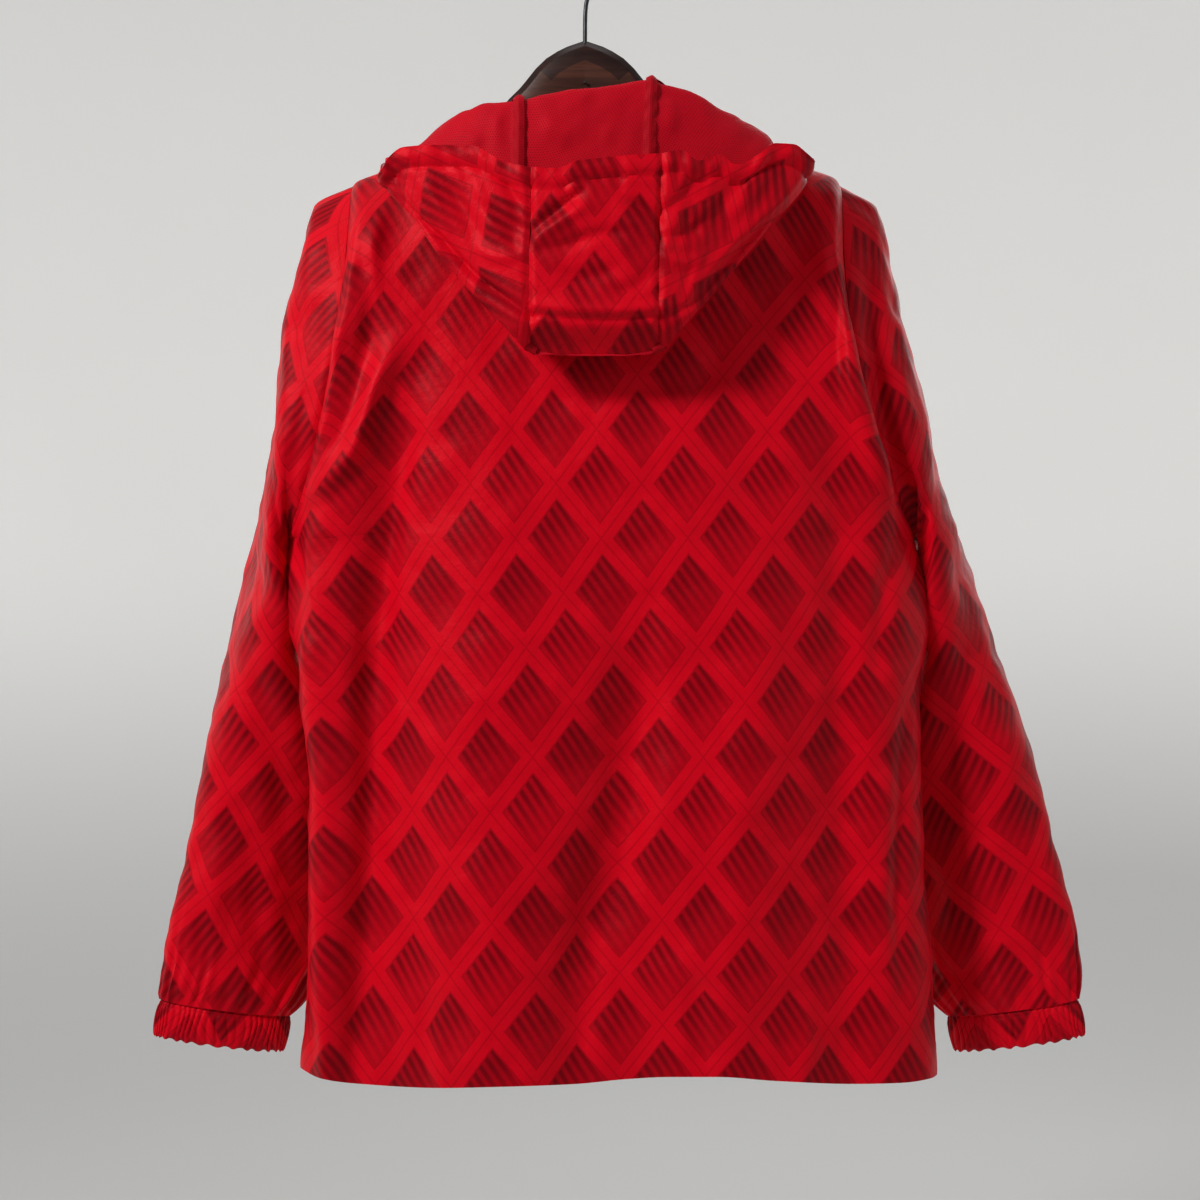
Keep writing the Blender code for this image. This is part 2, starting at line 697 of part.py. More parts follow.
def zip_line():
    """Centre front line from the hem to the chin, as points and directions into the garment."""
    rows = range(ARM_STEPS + SIDE_STEPS, 0, -1)
    points = [torso_point("front", row, 0)[0] for row in rows]
    points += [hood_point(2 * NECK_STEPS, row / HOOD_STEPS) for row in range(0, HOOD_STEPS + 1, 2)]
    points = np.array(points) * np.array((0.0, 1.0, 1.0))
    keep = [0]
    for k in range(1, len(points)):
        if points[k][2] - points[keep[-1]][2] > ZIP_SPACING:
            keep.append(k)
    points = points[keep]
    along = np.gradient(points, axis=0)
    inward = np.cross(along, np.array((1.0, 0.0, 0.0)))
    inward /= np.linalg.norm(inward, axis=1, keepdims=True)
    return points, inward * np.sign(-inward[:, 1:2])


def zip_strip(name, low, high, below, thick, material, first=0, last=None):
    """Strip along the centre front between two places across, below the cloth's outer face."""
    points, inward = zip_line()
    points = points[first:last]
    inward = inward[first:last]
    outer = []
    for x in (low, high):
        outer.append(points + inward * below + np.array((x, 0.0, 0.0)))
    outer = leaned(np.stack(outer, axis=1))
    inner = outer + np.stack((inward, inward), axis=1) * thick
    return wall_between(name, outer, inner, material)


def make_zip():
    """Closed front zip: two tapes, the row of teeth, the slider and its pull tab."""
    tape_below = 2.0 * WALL + 2.0 * LAYER_GAP + TAPE_MARGIN
    chain_below = tape_below - LAYER_GAP - CHAIN_THICK
    zip_strip("zip_tape_right", HALF_GAP, ZIP_TAPE, tape_below, TAPE_WALL, "zip_tape")
    zip_strip("zip_tape_left", -ZIP_TAPE, -HALF_GAP, tape_below, TAPE_WALL, "zip_tape")
    zip_strip("zip_chain", -CHAIN_HALF, CHAIN_HALF, chain_below, CHAIN_THICK, "zip_teeth",
              last=-1)
    make_slider()


def rounded_box(half_x, half_z, round_by, count):
    """Outline of a rounded rectangle, as x and z pairs."""
    outline = []
    for k in range(count):
        turn = 2.0 * math.pi * (k + 0.5) / count
        x = math.cos(turn)
        z = math.sin(turn)
        outline.append((math.copysign(abs(x) ** round_by, x) * half_x,
                        math.copysign(abs(z) ** round_by, z) * half_z))
    return outline


def make_slider():
    """Slider at the chin with a crown, and the pull tab hanging through the crown."""
    points, inward = zip_line()
    top = leaned(points[-1:])[0]
    base = top + inward[-1] * (2.0 * WALL + 2.0 * LAYER_GAP + TAPE_MARGIN - LAYER_GAP)
    middle = np.array((top[0], base[1], top[2] - SLIDER_DROP))
    low = middle[1]
    high = top[1] + SLIDER_PROUD
    rings = []
    outline = rounded_box(SLIDER_HALF_X, SLIDER_HALF_Z, CORNER_POWER, SLIDER_SIDES)
    for y, size in ((low, SLIDER_FACE), (low + SLIDER_EDGE, 1.0),
                    (high - SLIDER_EDGE, 1.0), (high, SLIDER_FACE)):
        rings.append([(middle[0] + x * size, y, middle[2] + z * size) for x, z in outline])
    slider = loft("zip_slider", rings, "zip_metal")
    axle = np.array((middle[0], high + CROWN_HOLE, middle[2]))
    turns = [2.0 * math.pi * k / SLIDER_SIDES for k in range(SLIDER_SIDES)]
    crown = frame_ring(
        "crown",
        [(axle[1] + CROWN_OUT * math.cos(t), axle[2] + CROWN_OUT * math.sin(t)) for t in turns],
        [(axle[1] + CROWN_HOLE * math.cos(t), axle[2] + CROWN_HOLE * math.sin(t)) for t in turns],
        axle[0] - CROWN_HALF, axle[0] + CROWN_HALF, 0, "zip_metal")
    combine(slider, crown, "UNION")
    make_pull(axle)


def make_pull(axle):
    """Pull tab, its bar through the crown and its window round the bar."""
    outer = []
    inner = []
    for x, z in rounded_box(1.0, 1.0, CORNER_POWER, SLIDER_SIDES):
        length = PULL_LENGTH if z < 0.0 else PULL_BAR
        outer.append((axle[0] + x * PULL_HALF_X, axle[2] + z * length))
        drop = PULL_BAR if z > 0.0 else PULL_WINDOW
        inner.append((axle[0] + x * PULL_WINDOW_X, axle[2] - drop))
    frame_ring("zip_pull", outer, inner, axle[1] - PULL_BAR, axle[1] + PULL_BAR, 1, "zip_metal")


def make_hanger():
    """Wooden contour hanger in one piece, bored for the hook."""
    rows = len(HANGER["x"])
    order = [(k, -1.0) for k in range(rows - 1, 0, -1)] + [(k, 1.0) for k in range(rows)]
    centres = np.array([(HANGER["x"][k] * side, HANGER["y"][k], HANGER["z"][k]) for k, side in order])
    along = np.gradient(centres, axis=0)
    rings = []
    for centre, step, (k, _) in zip(centres, along, order):
        ahead = unit(step)
        thick = unit(np.array((0.0, 1.0, 0.0)) - ahead * ahead[1])
        high = np.cross(ahead, thick)
        outline = rounded_box(HANGER["thick"][k] / 2.0, HANGER["high"][k] / 2.0,
                              2.0 / HANGER_ROUND, HANGER_SIDES)
        rings.append([centre + thick * x + high * z for x, z in outline])
    wood = loft("hanger_wood", rings, "dark_wood")
    bore = HOOK_WIRE + BORE_GAP
    ends = (HOOK_FOOT - BORE_GAP, HANGER["z"][0] + HANGER["high"][0])
    rings = [[(bore * math.cos(t), HANGER["y"][0] + bore * math.sin(t), z)
              for t in (2.0 * math.pi * k / HOOK_SIDES for k in range(HOOK_SIDES))] for z in ends]
    combine(wood, loft("bore", rings, "dark_wood"), "DIFFERENCE")


def make_hook():
    """Wire hook, its stem in the wood and its open end on the left."""
    path = list(zip(HOOK["x"], HOOK["z"]))
    centre_z = HOOK_WIRE - HOOK_BEND
    for k in range(1, HOOK_ARC_STEPS + 1):
        turn = math.radians(HOOK_ARC_DEG * k / HOOK_ARC_STEPS)
        path.append((HOOK_BEND * math.cos(turn), centre_z + HOOK_BEND * math.sin(turn)))
    centres = np.array([(x, HANGER["y"][0], z) for x, z in path])
    along = np.gradient(centres, axis=0)
    rings = []
    deep = np.array((0.0, HOOK_WIRE, 0.0))
    turns = [2.0 * math.pi * k / HOOK_SIDES for k in range(HOOK_SIDES)]
    for centre, ahead in zip(centres, along):
        side = unit(np.cross(ahead, deep)) * HOOK_WIRE
        rings.append([centre + side * math.cos(t) + deep * math.sin(t) for t in turns])
    loft("hanger_hook", rings, "black_wire")


def main():
    """Build every piece."""
    clear_scene()
    pieces = torso_pieces()
    for name, side in (("right", 1.0), ("left", -1.0)):
        pieces.append(sleeve_piece("sleeve_" + name, side))
        make_cuff("cuff_" + name, side)
    hood = hood_pieces()
    pieces += hood
    share_normals(pieces)
    for piece in pieces:
        cloth(piece)
    for piece in hood:
        make_lining(piece)
    make_tape("hood_tape_right", hood[0], hood[1], -1)
    make_tape("hood_tape_left", hood[0], hood[2], 0)
    make_zip()
    make_hanger()
    make_hook()


main()
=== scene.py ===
import math
import bpy
import bmesh
import numpy as np
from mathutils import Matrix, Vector


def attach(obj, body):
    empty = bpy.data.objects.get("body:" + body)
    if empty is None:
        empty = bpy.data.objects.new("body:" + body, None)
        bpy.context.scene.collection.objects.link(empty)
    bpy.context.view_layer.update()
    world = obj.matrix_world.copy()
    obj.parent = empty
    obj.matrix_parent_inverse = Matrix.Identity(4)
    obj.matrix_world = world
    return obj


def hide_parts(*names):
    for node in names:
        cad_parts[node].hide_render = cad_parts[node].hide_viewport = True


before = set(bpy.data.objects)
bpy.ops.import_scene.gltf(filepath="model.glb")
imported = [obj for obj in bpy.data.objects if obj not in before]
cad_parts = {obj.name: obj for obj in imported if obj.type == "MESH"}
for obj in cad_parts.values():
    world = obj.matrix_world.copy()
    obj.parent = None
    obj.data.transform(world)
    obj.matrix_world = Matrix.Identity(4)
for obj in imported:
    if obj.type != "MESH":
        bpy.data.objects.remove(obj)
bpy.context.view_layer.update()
print("frame loaded:", len(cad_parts), "solids")

# camera
# px and py below are places in the camera's 1200 x 1200 frame
shot = {"x": 0.0115, "y": -1.4, "z": -0.5077, "halfTangent": 0.3284, "sensor": 36.0, "pixel": 0.5474e-3,
        "middle": 600}
cameraData = bpy.data.cameras.new("camera")
cameraData.sensor_width = shot["sensor"]
cameraData.lens = shot["sensor"] / 2 / shot["halfTangent"]
camera = bpy.data.objects.new("camera", cameraData)
camera.location = (shot["x"], shot["y"], shot["z"])
camera.rotation_euler = (math.radians(90), 0, 0)
bpy.context.scene.collection.objects.link(camera)
bpy.context.scene.camera = camera


def seenAt(points):
    away = (points[..., 1] - shot["y"]) * shot["pixel"]
    return (shot["middle"] + (points[..., 0] - shot["x"]) / away,
            shot["middle"] - (points[..., 2] - shot["z"]) / away)


# small tools
def table(columns, *rows):
    data = np.array(rows, float)
    return {name: data[:, k] for k, name in enumerate(columns.split())}


def curve(xs, ys, x):
    # smooth through the points without swinging past them
    xs, ys, x = np.asarray(xs, float), np.asarray(ys, float), np.asarray(x, float)
    steps = np.diff(xs)
    slopes = np.diff(ys) / steps
    ends = np.zeros(len(ys))
    ends[0], ends[-1] = slopes[0], slopes[-1]
    for k in range(1, len(ys) - 1):
        if slopes[k - 1] * slopes[k] > 0:
            left, right = 2 * steps[k] + steps[k - 1], steps[k] + 2 * steps[k - 1]
            ends[k] = (left + right) / (left / slopes[k - 1] + right / slopes[k])
    x = np.clip(x, xs[0], xs[-1])
    k = np.clip(np.searchsorted(xs, x, side="right") - 1, 0, len(steps) - 1)
    h = steps[k]
    t = (x - xs[k]) / h
    return ((1 + 2 * t) * (1 - t) ** 2 * ys[k] + t * (1 - t) ** 2 * h * ends[k]
            + t * t * (3 - 2 * t) * ys[k + 1] + t * t * (t - 1) * h * ends[k + 1])


def look(rows, key, name, x):
    return curve(rows[key], rows[name], x)


def ease(low, high, x):
    t = np.clip((np.asarray(x, float) - low) / (high - low), 0, 1)
    return t * t * (3 - 2 * t)


def bell(gap, reach):
    return np.exp(-(gap / reach) ** 2)


def unit(v):
    return v / np.maximum(np.linalg.norm(v, axis=-1, keepdims=True), 1e-12)


def gridNormals(grid, side):
    rows = np.gradient(grid, axis=0)
    across = np.gradient(grid, axis=1)
    return unit(np.cross(rows, across)) * side


def runOf(steps, axis):
    # running sum of steps, from nothing at the first line
    zero = np.zeros_like(np.take(steps, [0], axis=axis))
    return np.cumsum(np.concatenate((zero, steps), axis=axis), axis=axis)


def lengthsAlong(grid, axis):
    # running length of cloth along one way of the grid, from its first line
    return runOf(np.linalg.norm(np.diff(grid, axis=axis), axis=-1), axis)


def relaxed(values, times):
    # evens a grid of values, its border held
    out = np.array(values)
    for _ in range(times):
        inner = (out[:-2, 1:-1] + out[2:, 1:-1] + out[1:-1, :-2] + out[1:-1, 2:]) / 4
        out[1:-1, 1:-1] += (inner - out[1:-1, 1:-1]) * 0.8
    return out


def ripple(u, v, seed, low, high, count=18, lean=None):
    # gentle unevenness: seeded waves from low to high metres long
    draw = np.random.default_rng(seed)
    total = np.zeros_like(u)
    for _ in range(count):
        length = low * (high / low) ** draw.random()
        turn = draw.random() * math.tau if lean is None else lean + (draw.random() - 0.5) * 0.9
        total += np.sin(math.tau * (u * math.cos(turn) + v * math.sin(turn)) / length
                        + draw.random() * math.tau) * (length / high)
    return total / math.sqrt(count)


def smoothLine(points, steps=7):
    points = np.array(points, float)
    if len(points) < 3:
        return points
    at = np.arange(len(points))
    fine = np.linspace(0, len(points) - 1, (len(points) - 1) * steps + 1)
    return np.stack([curve(at, points[:, k], fine) for k in range(points.shape[1])], axis=1)


def creaseDepth(px, py, creases, tight=1.0):
    # each crease: line, width on its left and right as it runs, depth in mm, how full its two ends are
    total = np.zeros_like(px)
    for line, left, right, deep, startFull, endFull in creases:
        points = smoothLine(line)
        ahead = np.diff(points, axis=0)
        lengths = np.hypot(ahead[:, 0], ahead[:, 1])
        whole, done = lengths.sum(), 0.0
        best = np.full(px.shape, 1e9)
        side, along = np.zeros_like(px), np.zeros_like(px)
        for a, d, n in zip(points, ahead, lengths):
            t = np.clip(((px - a[0]) * d[0] + (py - a[1]) * d[1]) / (n * n), 0, 1)
            gx, gy = px - (a[0] + t * d[0]), py - (a[1] + t * d[1])
            gap = np.hypot(gx, gy)
            near = gap < best
            side = np.where(near, d[0] * gy - d[1] * gx, side)
            along = np.where(near, (done + t * n) / whole, along)
            best = np.where(near, gap, best)
            done += n
        width = np.where(side > 0, right, left) * tight
        fade = startFull + (1 - startFull) * ease(0, 0.35, along)
        fade = fade * (endFull + (1 - endFull) * ease(0, 0.35, 1 - along))
        total += deep * 1e-3 * fade * bell(best, width)
    return total


# shader maths
class Wire:
    # a socket that takes part in sums
    def __init__(self, tree, socket):
        self.tree, self.socket = tree, socket

    def node(self, kind, settings=None, out=0, **inputs):
        return addNode(self.tree, kind, settings, out, **inputs)

    def maths(self, operation, *others):
        made = self.tree.nodes.new("ShaderNodeMath")
        made.operation = operation
        for k, value in enumerate((self, *others)):
            plug(self.tree, made.inputs[k], value)
        return Wire(self.tree, made.outputs[0])

    def __add__(self, other): return self.maths("ADD", other)
    def __radd__(self, other): return self.maths("ADD", other)
    def __sub__(self, other): return self.maths("SUBTRACT", other)
    def __rsub__(self, other): return (self * -1.0).maths("ADD", other)
    def __mul__(self, other): return self.maths("MULTIPLY", other)
    def __rmul__(self, other): return self.maths("MULTIPLY", other)
    def __truediv__(self, other): return self.maths("DIVIDE", other)

    def floor(self): return self.maths("FLOOR")
    def fract(self): return self.maths("FRACT")
    def absolute(self): return self.maths("ABSOLUTE")
    def sine(self): return self.maths("SINE")
    def power(self, other): return self.maths("POWER", other)
    def smaller(self, other): return self.maths("MINIMUM", other)
    def larger(self, other): return self.maths("MAXIMUM", other)
    def modulo(self, other): return self.maths("FLOORED_MODULO", other)

    def ramp(self, low, high, start=0.0, end=1.0):
        return self.node("MapRange", {"interpolation_type": "SMOOTHSTEP"}, Value=self, From_Min=low,
                         From_Max=high, To_Min=start, To_Max=end)


def plug(tree, socket, value):
    if isinstance(value, Wire):
        tree.links.new(value.socket, socket)
    elif hasattr(socket.default_value, "__len__") and not hasattr(value, "__len__"):
        socket.default_value = (value,) * len(socket.default_value)
    else:
        socket.default_value = value


def addNode(tree, kind, settings=None, out=0, **inputs):
    made = tree.nodes.new("ShaderNode" + kind)
    for name, value in (settings or {}).items():
        if name == "stops":
            ramp = made.color_ramp
            while len(ramp.elements) < len(value):
                ramp.elements.new(1.0)
            for element, (place, colour) in zip(ramp.elements, value):
                element.position, element.color = place, colour
        else:
            setattr(made, name, value)
    for name, value in inputs.items():
        socket = made.inputs[int(name[1:])] if name[0] == "_" else made.inputs[name.replace("_", " ")]
        plug(tree, socket, value)
    return Wire(tree, made.outputs[out])


def newMaterial(name, **constants):
    made = bpy.data.materials.new(name)
    made.use_nodes = True
    shader = made.node_tree.nodes["Principled BSDF"]
    for key, value in constants.items():
        shader.inputs[key.replace("_", " ")].default_value = value
    return made, made.node_tree, shader


def feed(tree, shader, name, wire):
    tree.links.new(wire.socket, shader.inputs[name])


def mixColours(tree, share, first, second):
    made = tree.nodes.new("ShaderNodeMix")
    made.data_type = "RGBA"
    plug(tree, made.inputs[0], share)
    plug(tree, made.inputs[6], first)
    plug(tree, made.inputs[7], second)
    return Wire(tree, made.outputs[2])


def clothPlace(tree):
    # across and up the cloth in metres
    place = addNode(tree, "UVMap", {"uv_map": "cloth"})
    split = tree.nodes.new("ShaderNodeSeparateXYZ")
    tree.links.new(place.socket, split.inputs[0])
    return place, Wire(tree, split.outputs[0]), Wire(tree, split.outputs[1])


def objectPlace(tree):
    place = addNode(tree, "TexCoord", None, 3)
    split = tree.nodes.new("ShaderNodeSeparateXYZ")
    tree.links.new(place.socket, split.inputs[0])
    return place, [Wire(tree, split.outputs[k]) for k in range(3)]


def noise(tree, place, scale, detail=2.0, roughness=0.5):
    return addNode(tree, "TexNoise", None, 0, Vector=place, Scale=scale, Detail=detail, Roughness=roughness)


def bumpNormal(tree, height, distance, strength=1.0, under=None):
    made = tree.nodes.new("ShaderNodeBump")
    made.inputs["Strength"].default_value = strength
    made.inputs["Distance"].default_value = distance
    tree.links.new(height.socket, made.inputs["Height"])
    if under is not None:
        tree.links.new(under.socket, made.inputs["Normal"])
    return Wire(tree, made.outputs[0])


# cloth finishes
printed = {
    "ground": (0.68, 0.0010, 0.0115, 1), "shade": (0.36, 0.0007, 0.0070, 1),
    "line": (0.15, 0.0003, 0.0040, 1), "wide": 0.064, "high": 0.082, "hatches": 7.0, "tilt": 0.12,
    "band": 0.145, "threads": 2600.0,
}


def shellFinish():
    made, tree, shader = newMaterial("shellCloth", Sheen_Weight=0.05, Sheen_Roughness=0.4,
                                     Sheen_Tint=(1.0, 0.10, 0.12, 1), Specular_IOR_Level=0.30,
                                     Specular_Tint=(1.0, 0.16, 0.18, 1))
    place, u, v = clothPlace(tree)
    wobble = noise(tree, place, 9.0, 1.0) - 0.5
    a = u / printed["wide"] + v / printed["high"] + wobble * 0.05
    b = u / printed["wide"] - v / printed["high"] + wobble * 0.05
    inA, inB = a.fract(), b.fract()
    odd = (a.floor() + b.floor() * 2.0).modulo(3.0) * 0.16              # lozenges differ a little in depth
    edge = (inA.smaller(1 - inA)).smaller(inB.smaller(1 - inB))       # distance to the lozenge's sides
    hatch = ((inA + inB * printed["tilt"]) * printed["hatches"]).fract()
    hatch = (hatch - 0.5).absolute().ramp(0.08, 0.40, 0.0, 1.0)
    graded = (inB - inA * 0.3).ramp(0.0, 0.75, 1.0, 0.25)
    filled = edge.ramp(printed["band"], printed["band"] + 0.02, 0.0, 1.0)
    rim = ((edge - printed["band"]).absolute().ramp(0.004, 0.020, 1.0, 0.0)) * 0.45
    rim = rim.larger(edge.ramp(0.006, 0.020, 1.0, 0.0) * 0.28)
    shade = filled * (0.40 + 0.55 * graded - odd)
    lines = filled * hatch * graded
    patchy = noise(tree, place, 55.0, 2.0)
    ground = mixColours(tree, patchy * 0.2, printed["ground"], (0.58, 0.0010, 0.0100, 1))
    colour = mixColours(tree, shade, ground, printed["shade"])
    colour = mixColours(tree, (lines * 0.80).larger(rim), colour, printed["line"])
    thread = ((u * printed["threads"]).sine() * (v * printed["threads"]).sine())
    crumple = noise(tree, place, 120.0, 3.0, 0.6)
    feed(tree, shader, "Base Color", colour)
    feed(tree, shader, "Roughness", 0.50 + (crumple - 0.5) * 0.12 + thread * 0.03)
    fine = bumpNormal(tree, thread, 0.00006, 0.35)
    feed(tree, shader, "Normal", bumpNormal(tree, crumple + noise(tree, place, 34.0, 2.0) * 1.6,
                                             0.0012, 0.5, fine))
    return made


def liningFinish():
    # the holes take a dark red: painted shade of the cloth seen through them
    mesh = {"pitch": 0.0019, "red": (0.55, 0.0024, 0.0130, 1), "shadedHoles": (0.20, 0.0008, 0.0045, 1)}
    made, tree, shader = newMaterial("meshLining", Sheen_Weight=0.04, Sheen_Roughness=0.6,
                                     Sheen_Tint=(1.0, 0.15, 0.2, 1), Specular_IOR_Level=0.20,
                                     Specular_Tint=(1.0, 0.25, 0.3, 1))
    place, u, v = clothPlace(tree)
    row = v / mesh["pitch"]
    column = u / mesh["pitch"] + (row.floor()).modulo(2.0) * 0.5
    across, up = column.fract() - 0.5, row.fract() - 0.5
    shadedHoles = (across * across + up * up).ramp(0.035, 0.085, 1.0, 0.0)
    patchy = noise(tree, place, 26.0, 3.0)
    red = mixColours(tree, patchy.ramp(0.3, 0.75) * 0.5, mesh["red"], (0.40, 0.0016, 0.0095, 1))
    # dark in the holes: painted shade
    feed(tree, shader, "Base Color", mixColours(tree, shadedHoles * 0.55, red, mesh["shadedHoles"]))
    feed(tree, shader, "Roughness", 0.62 + shadedHoles * 0.2)
    feed(tree, shader, "Normal", bumpNormal(tree, patchy * 2.0 - shadedHoles * 0.6, 0.0008, 0.45))
    return made


def tapeFinish(name, red, ribs):
    made, tree, shader = newMaterial(name, Sheen_Weight=0.04, Sheen_Roughness=0.5, Specular_IOR_Level=0.22,
                                     Sheen_Tint=(1.0, 0.15, 0.2, 1), Specular_Tint=(1.0, 0.25, 0.3, 1))
    u, v = clothPlace(tree)[1:]
    rib = (v * ribs).sine() * 0.5 + 0.5
    weave = (u * ribs * 0.7).sine() * 0.5 + 0.5
    deep = (red[0] * 0.55, red[1], red[2] * 0.6, 1)
    feed(tree, shader, "Base Color", mixColours(tree, rib * 0.4 + weave * 0.2, red, deep))
    feed(tree, shader, "Roughness", 0.55 + rib * 0.15)
    feed(tree, shader, "Normal", bumpNormal(tree, rib + weave * 0.5, 0.0002, 0.6))
    return made


shellCloth = shellFinish()
meshLining = liningFinish()
liningTape = tapeFinish("liningTape", (0.46, 0.0020, 0.0105, 1), 5200.0)
zipTape = tapeFinish("zipTape", (0.50, 0.002, 0.011, 1), 4200.0)
print("cloth finishes made")


# making and finishing pieces
def chosen(piece):
    bpy.ops.object.select_all(action="DESELECT")
    piece.select_set(True)
    bpy.context.view_layer.objects.active = piece


def applied(piece, kind, **settings):
    # a modifier on the active piece, made and applied
    change = piece.modifiers.new("change", kind)
    for key, value in settings.items():
        setattr(change, key, value)
    bpy.ops.object.modifier_apply(modifier="change")


def facedOut():
    bpy.ops.object.mode_set(mode="EDIT")
    bpy.ops.mesh.select_all(action="SELECT")
    bpy.ops.mesh.normals_make_consistent(inside=False)
    bpy.ops.object.mode_set(mode="OBJECT")


madeSheets = {}                                       # the grid of each piece, by name


def sheetWall(name, grid, places, side, thick, finish, node):
    # a closed thin wall on a grid of points; side says which way its wall lies
    rows, columns = grid.shape[:2]
    wall = gridNormals(grid, side)
    depth = np.broadcast_to(np.asarray(thick, float), (rows, columns))[..., None]
    points = np.concatenate((grid.reshape(-1, 3), (grid + wall * depth).reshape(-1, 3)))
    count = rows * columns
    index = np.arange(count).reshape(rows, columns)
    a, b, c, d = index[:-1, :-1], index[1:, :-1], index[1:, 1:], index[:-1, 1:]
    outer = np.stack((a, b, c, d), -1).reshape(-1, 4)
    inner = np.stack((a, d, c, b), -1).reshape(-1, 4) + count
    border = np.concatenate((index[0, :-1], index[:-1, -1], index[-1, :0:-1], index[:0:-1, 0]))
    after = np.roll(border, -1)
    rim = np.stack((border, after, after + count, border + count), -1)
    faces = np.concatenate((outer, inner, rim))
    if side > 0:
        faces = faces[:, ::-1]
    mesh = bpy.data.meshes.new(name)
    mesh.vertices.add(len(points))
    mesh.vertices.foreach_set("co", points.ravel())
    mesh.loops.add(faces.size)
    mesh.loops.foreach_set("vertex_index", faces.ravel().astype(np.int32))
    mesh.polygons.add(len(faces))
    mesh.polygons.foreach_set("loop_start", np.arange(0, faces.size, 4, dtype=np.int32))
    mesh.update(calc_edges=True)
    layer = mesh.uv_layers.new(name="cloth")
    flat = np.concatenate((places.reshape(-1, 2), places.reshape(-1, 2)))
    layer.data.foreach_set("uv", flat[faces.ravel()].ravel())
    mesh.validate()
    mesh.polygons.foreach_set("use_smooth", np.ones(len(mesh.polygons), bool))
    mesh.materials.append(finish)
    piece = bpy.data.objects.new(name, mesh)
    bpy.context.scene.collection.objects.link(piece)
    chosen(piece)
    bpy.ops.object.shade_smooth_by_angle(angle=math.radians(55))
    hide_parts(node)
    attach(piece, "garment")
    madeSheets[name] = grid
    print("cloth piece", name, len(faces) * 2, "triangles")


lean = table("z x",
    (-0.900, 0.0270), (-0.700, 0.0260), (-0.580, 0.0230), (-0.460, 0.0125), (-0.300, 0.0070),
    (-0.160, 0.0095), (-0.100, 0.0105))


def leaned(grid):
    out = np.array(grid)
    out[..., 0] += look(lean, "z", "x", out[..., 2])
    return out


# body: back and two fronts
# waves here and below: depth, seed, shortest and longest in metres, how many
body = {
    "tip": (0.191, 0.030, -0.184), "underarm": (0.2405, 0.034, -0.460),
    "armInset": {"back": 0.017, "front": 0.040}, "armReach": {"back": -0.048, "front": 0.056},
    "neckSide": (0.092, 0.012, -0.147), "neckBack": (0.0, -0.028, -0.158),
    "neckFront": (0.0, 0.104, -0.206), "zipHalf": 0.0052, "hemZ": -0.871, "shoulderRound": 0.060, "crowding": 1.5,
    "square": {"back": 3.0, "front": 1.6}, "edgePower": 9,
    "armSteps": 10, "sideSteps": 9, "neckSteps": 6, "shoulderSteps": 5,
    "armRows": 78, "sideRows": 130, "neckColumns": 50, "shoulderColumns": 48,
    "thick": 0.00045, "hemDepth": 0.027, "hemThick": 0.0012,
    "fullZ": -0.506, "fullHigh": 0.052, "fullWide": 0.030, "fullLeft": 0.014, "fullRight": 0.011,
    "spreadBy": 7, "turnBy": 1.2, "even": 26, "footEven": (500, 300), "footReach": 0.055,
    "footFrom": (0.35, 0.75), "topRows": 5, "seamHeld": 0.12, "seamReach": 0.016, "creaseTight": 0.8,
    "creaseDeep": 3.3, "waves": ((0.0018, 11, 0.05, 0.16, 22), (0.0008, 31, 0.018, 0.050, 26)),
    "stitchDeep": 0.0007, "stitchReach": 0.0011, "puckerDeep": 0.00045, "puckerReach": 0.012,
    "zipFold": 0.007, "zipFoldDeep": 0.0010, "zipFoldReach": 0.0014,
    "hemStep": 0.0006, "rimReach": 0.0012, "rimThin": 0.35, "rimIn": 0.0004, "hemFollows": 0.10,
    "perPixel": 0.00075,
}
torso = table("z half seamY backY frontY",
    (-0.875, 0.2490, 0.034, -0.031, 0.104), (-0.760, 0.2430, 0.034, -0.033, 0.106),
    (-0.680, 0.2370, 0.034, -0.0345, 0.108), (-0.580, 0.2385, 0.034, -0.0355, 0.109),
    (-0.510, 0.2430, 0.034, -0.0360, 0.1095), (-0.460, 0.2405, 0.034, -0.0362, 0.1095),
    (-0.330, 0.2100, 0.0335, -0.0365, 0.108), (-0.150, 0.1900, 0.0335, -0.034, 0.100))
backFolds = table("across spread deep top full",
    (-0.70, 0.110, 0.0130, -0.30, -0.56), (-0.90, 0.060, -0.0040, -0.36, -0.60),
    (-0.30, 0.150, -0.0050, -0.46, -0.72), (0.03, 0.110, 0.0090, -0.52, -0.80),
    (0.34, 0.150, -0.0030, -0.50, -0.70), (0.68, 0.120, 0.0070, -0.40, -0.66))
frontFolds = table("across spread deep top full",
    (-0.62, 0.110, 0.0090, -0.34, -0.62), (-0.30, 0.110, -0.0040, -0.44, -0.70),
    (0.34, 0.120, 0.0060, -0.40, -0.66), (0.66, 0.110, 0.0080, -0.32, -0.60))


def armLoop(face, step):
    turn = math.pi * np.asarray(step, float) / body["armSteps"]
    tip, under = np.array(body["tip"]), np.array(body["underarm"])
    point = (tip + under) / 2 + (tip - under) / 2 * np.cos(turn)[..., None]
    point[..., 0] -= body["armInset"][face] * np.sin(turn) ** 2
    point[..., 1] += body["armReach"][face] * np.sin(turn)
    return point


def sidePoint(face, row):
    onArm = armLoop(face, np.minimum(row, body["armSteps"]))
    share = np.clip((row - body["armSteps"]) / body["sideSteps"], 0, 1)
    z = body["underarm"][2] + (body["hemZ"] - body["underarm"][2]) * share
    onSide = np.stack((look(torso, "z", "half", z), look(torso, "z", "seamY", z), z), -1)
    return np.where((row <= body["armSteps"])[..., None], onArm, onSide)


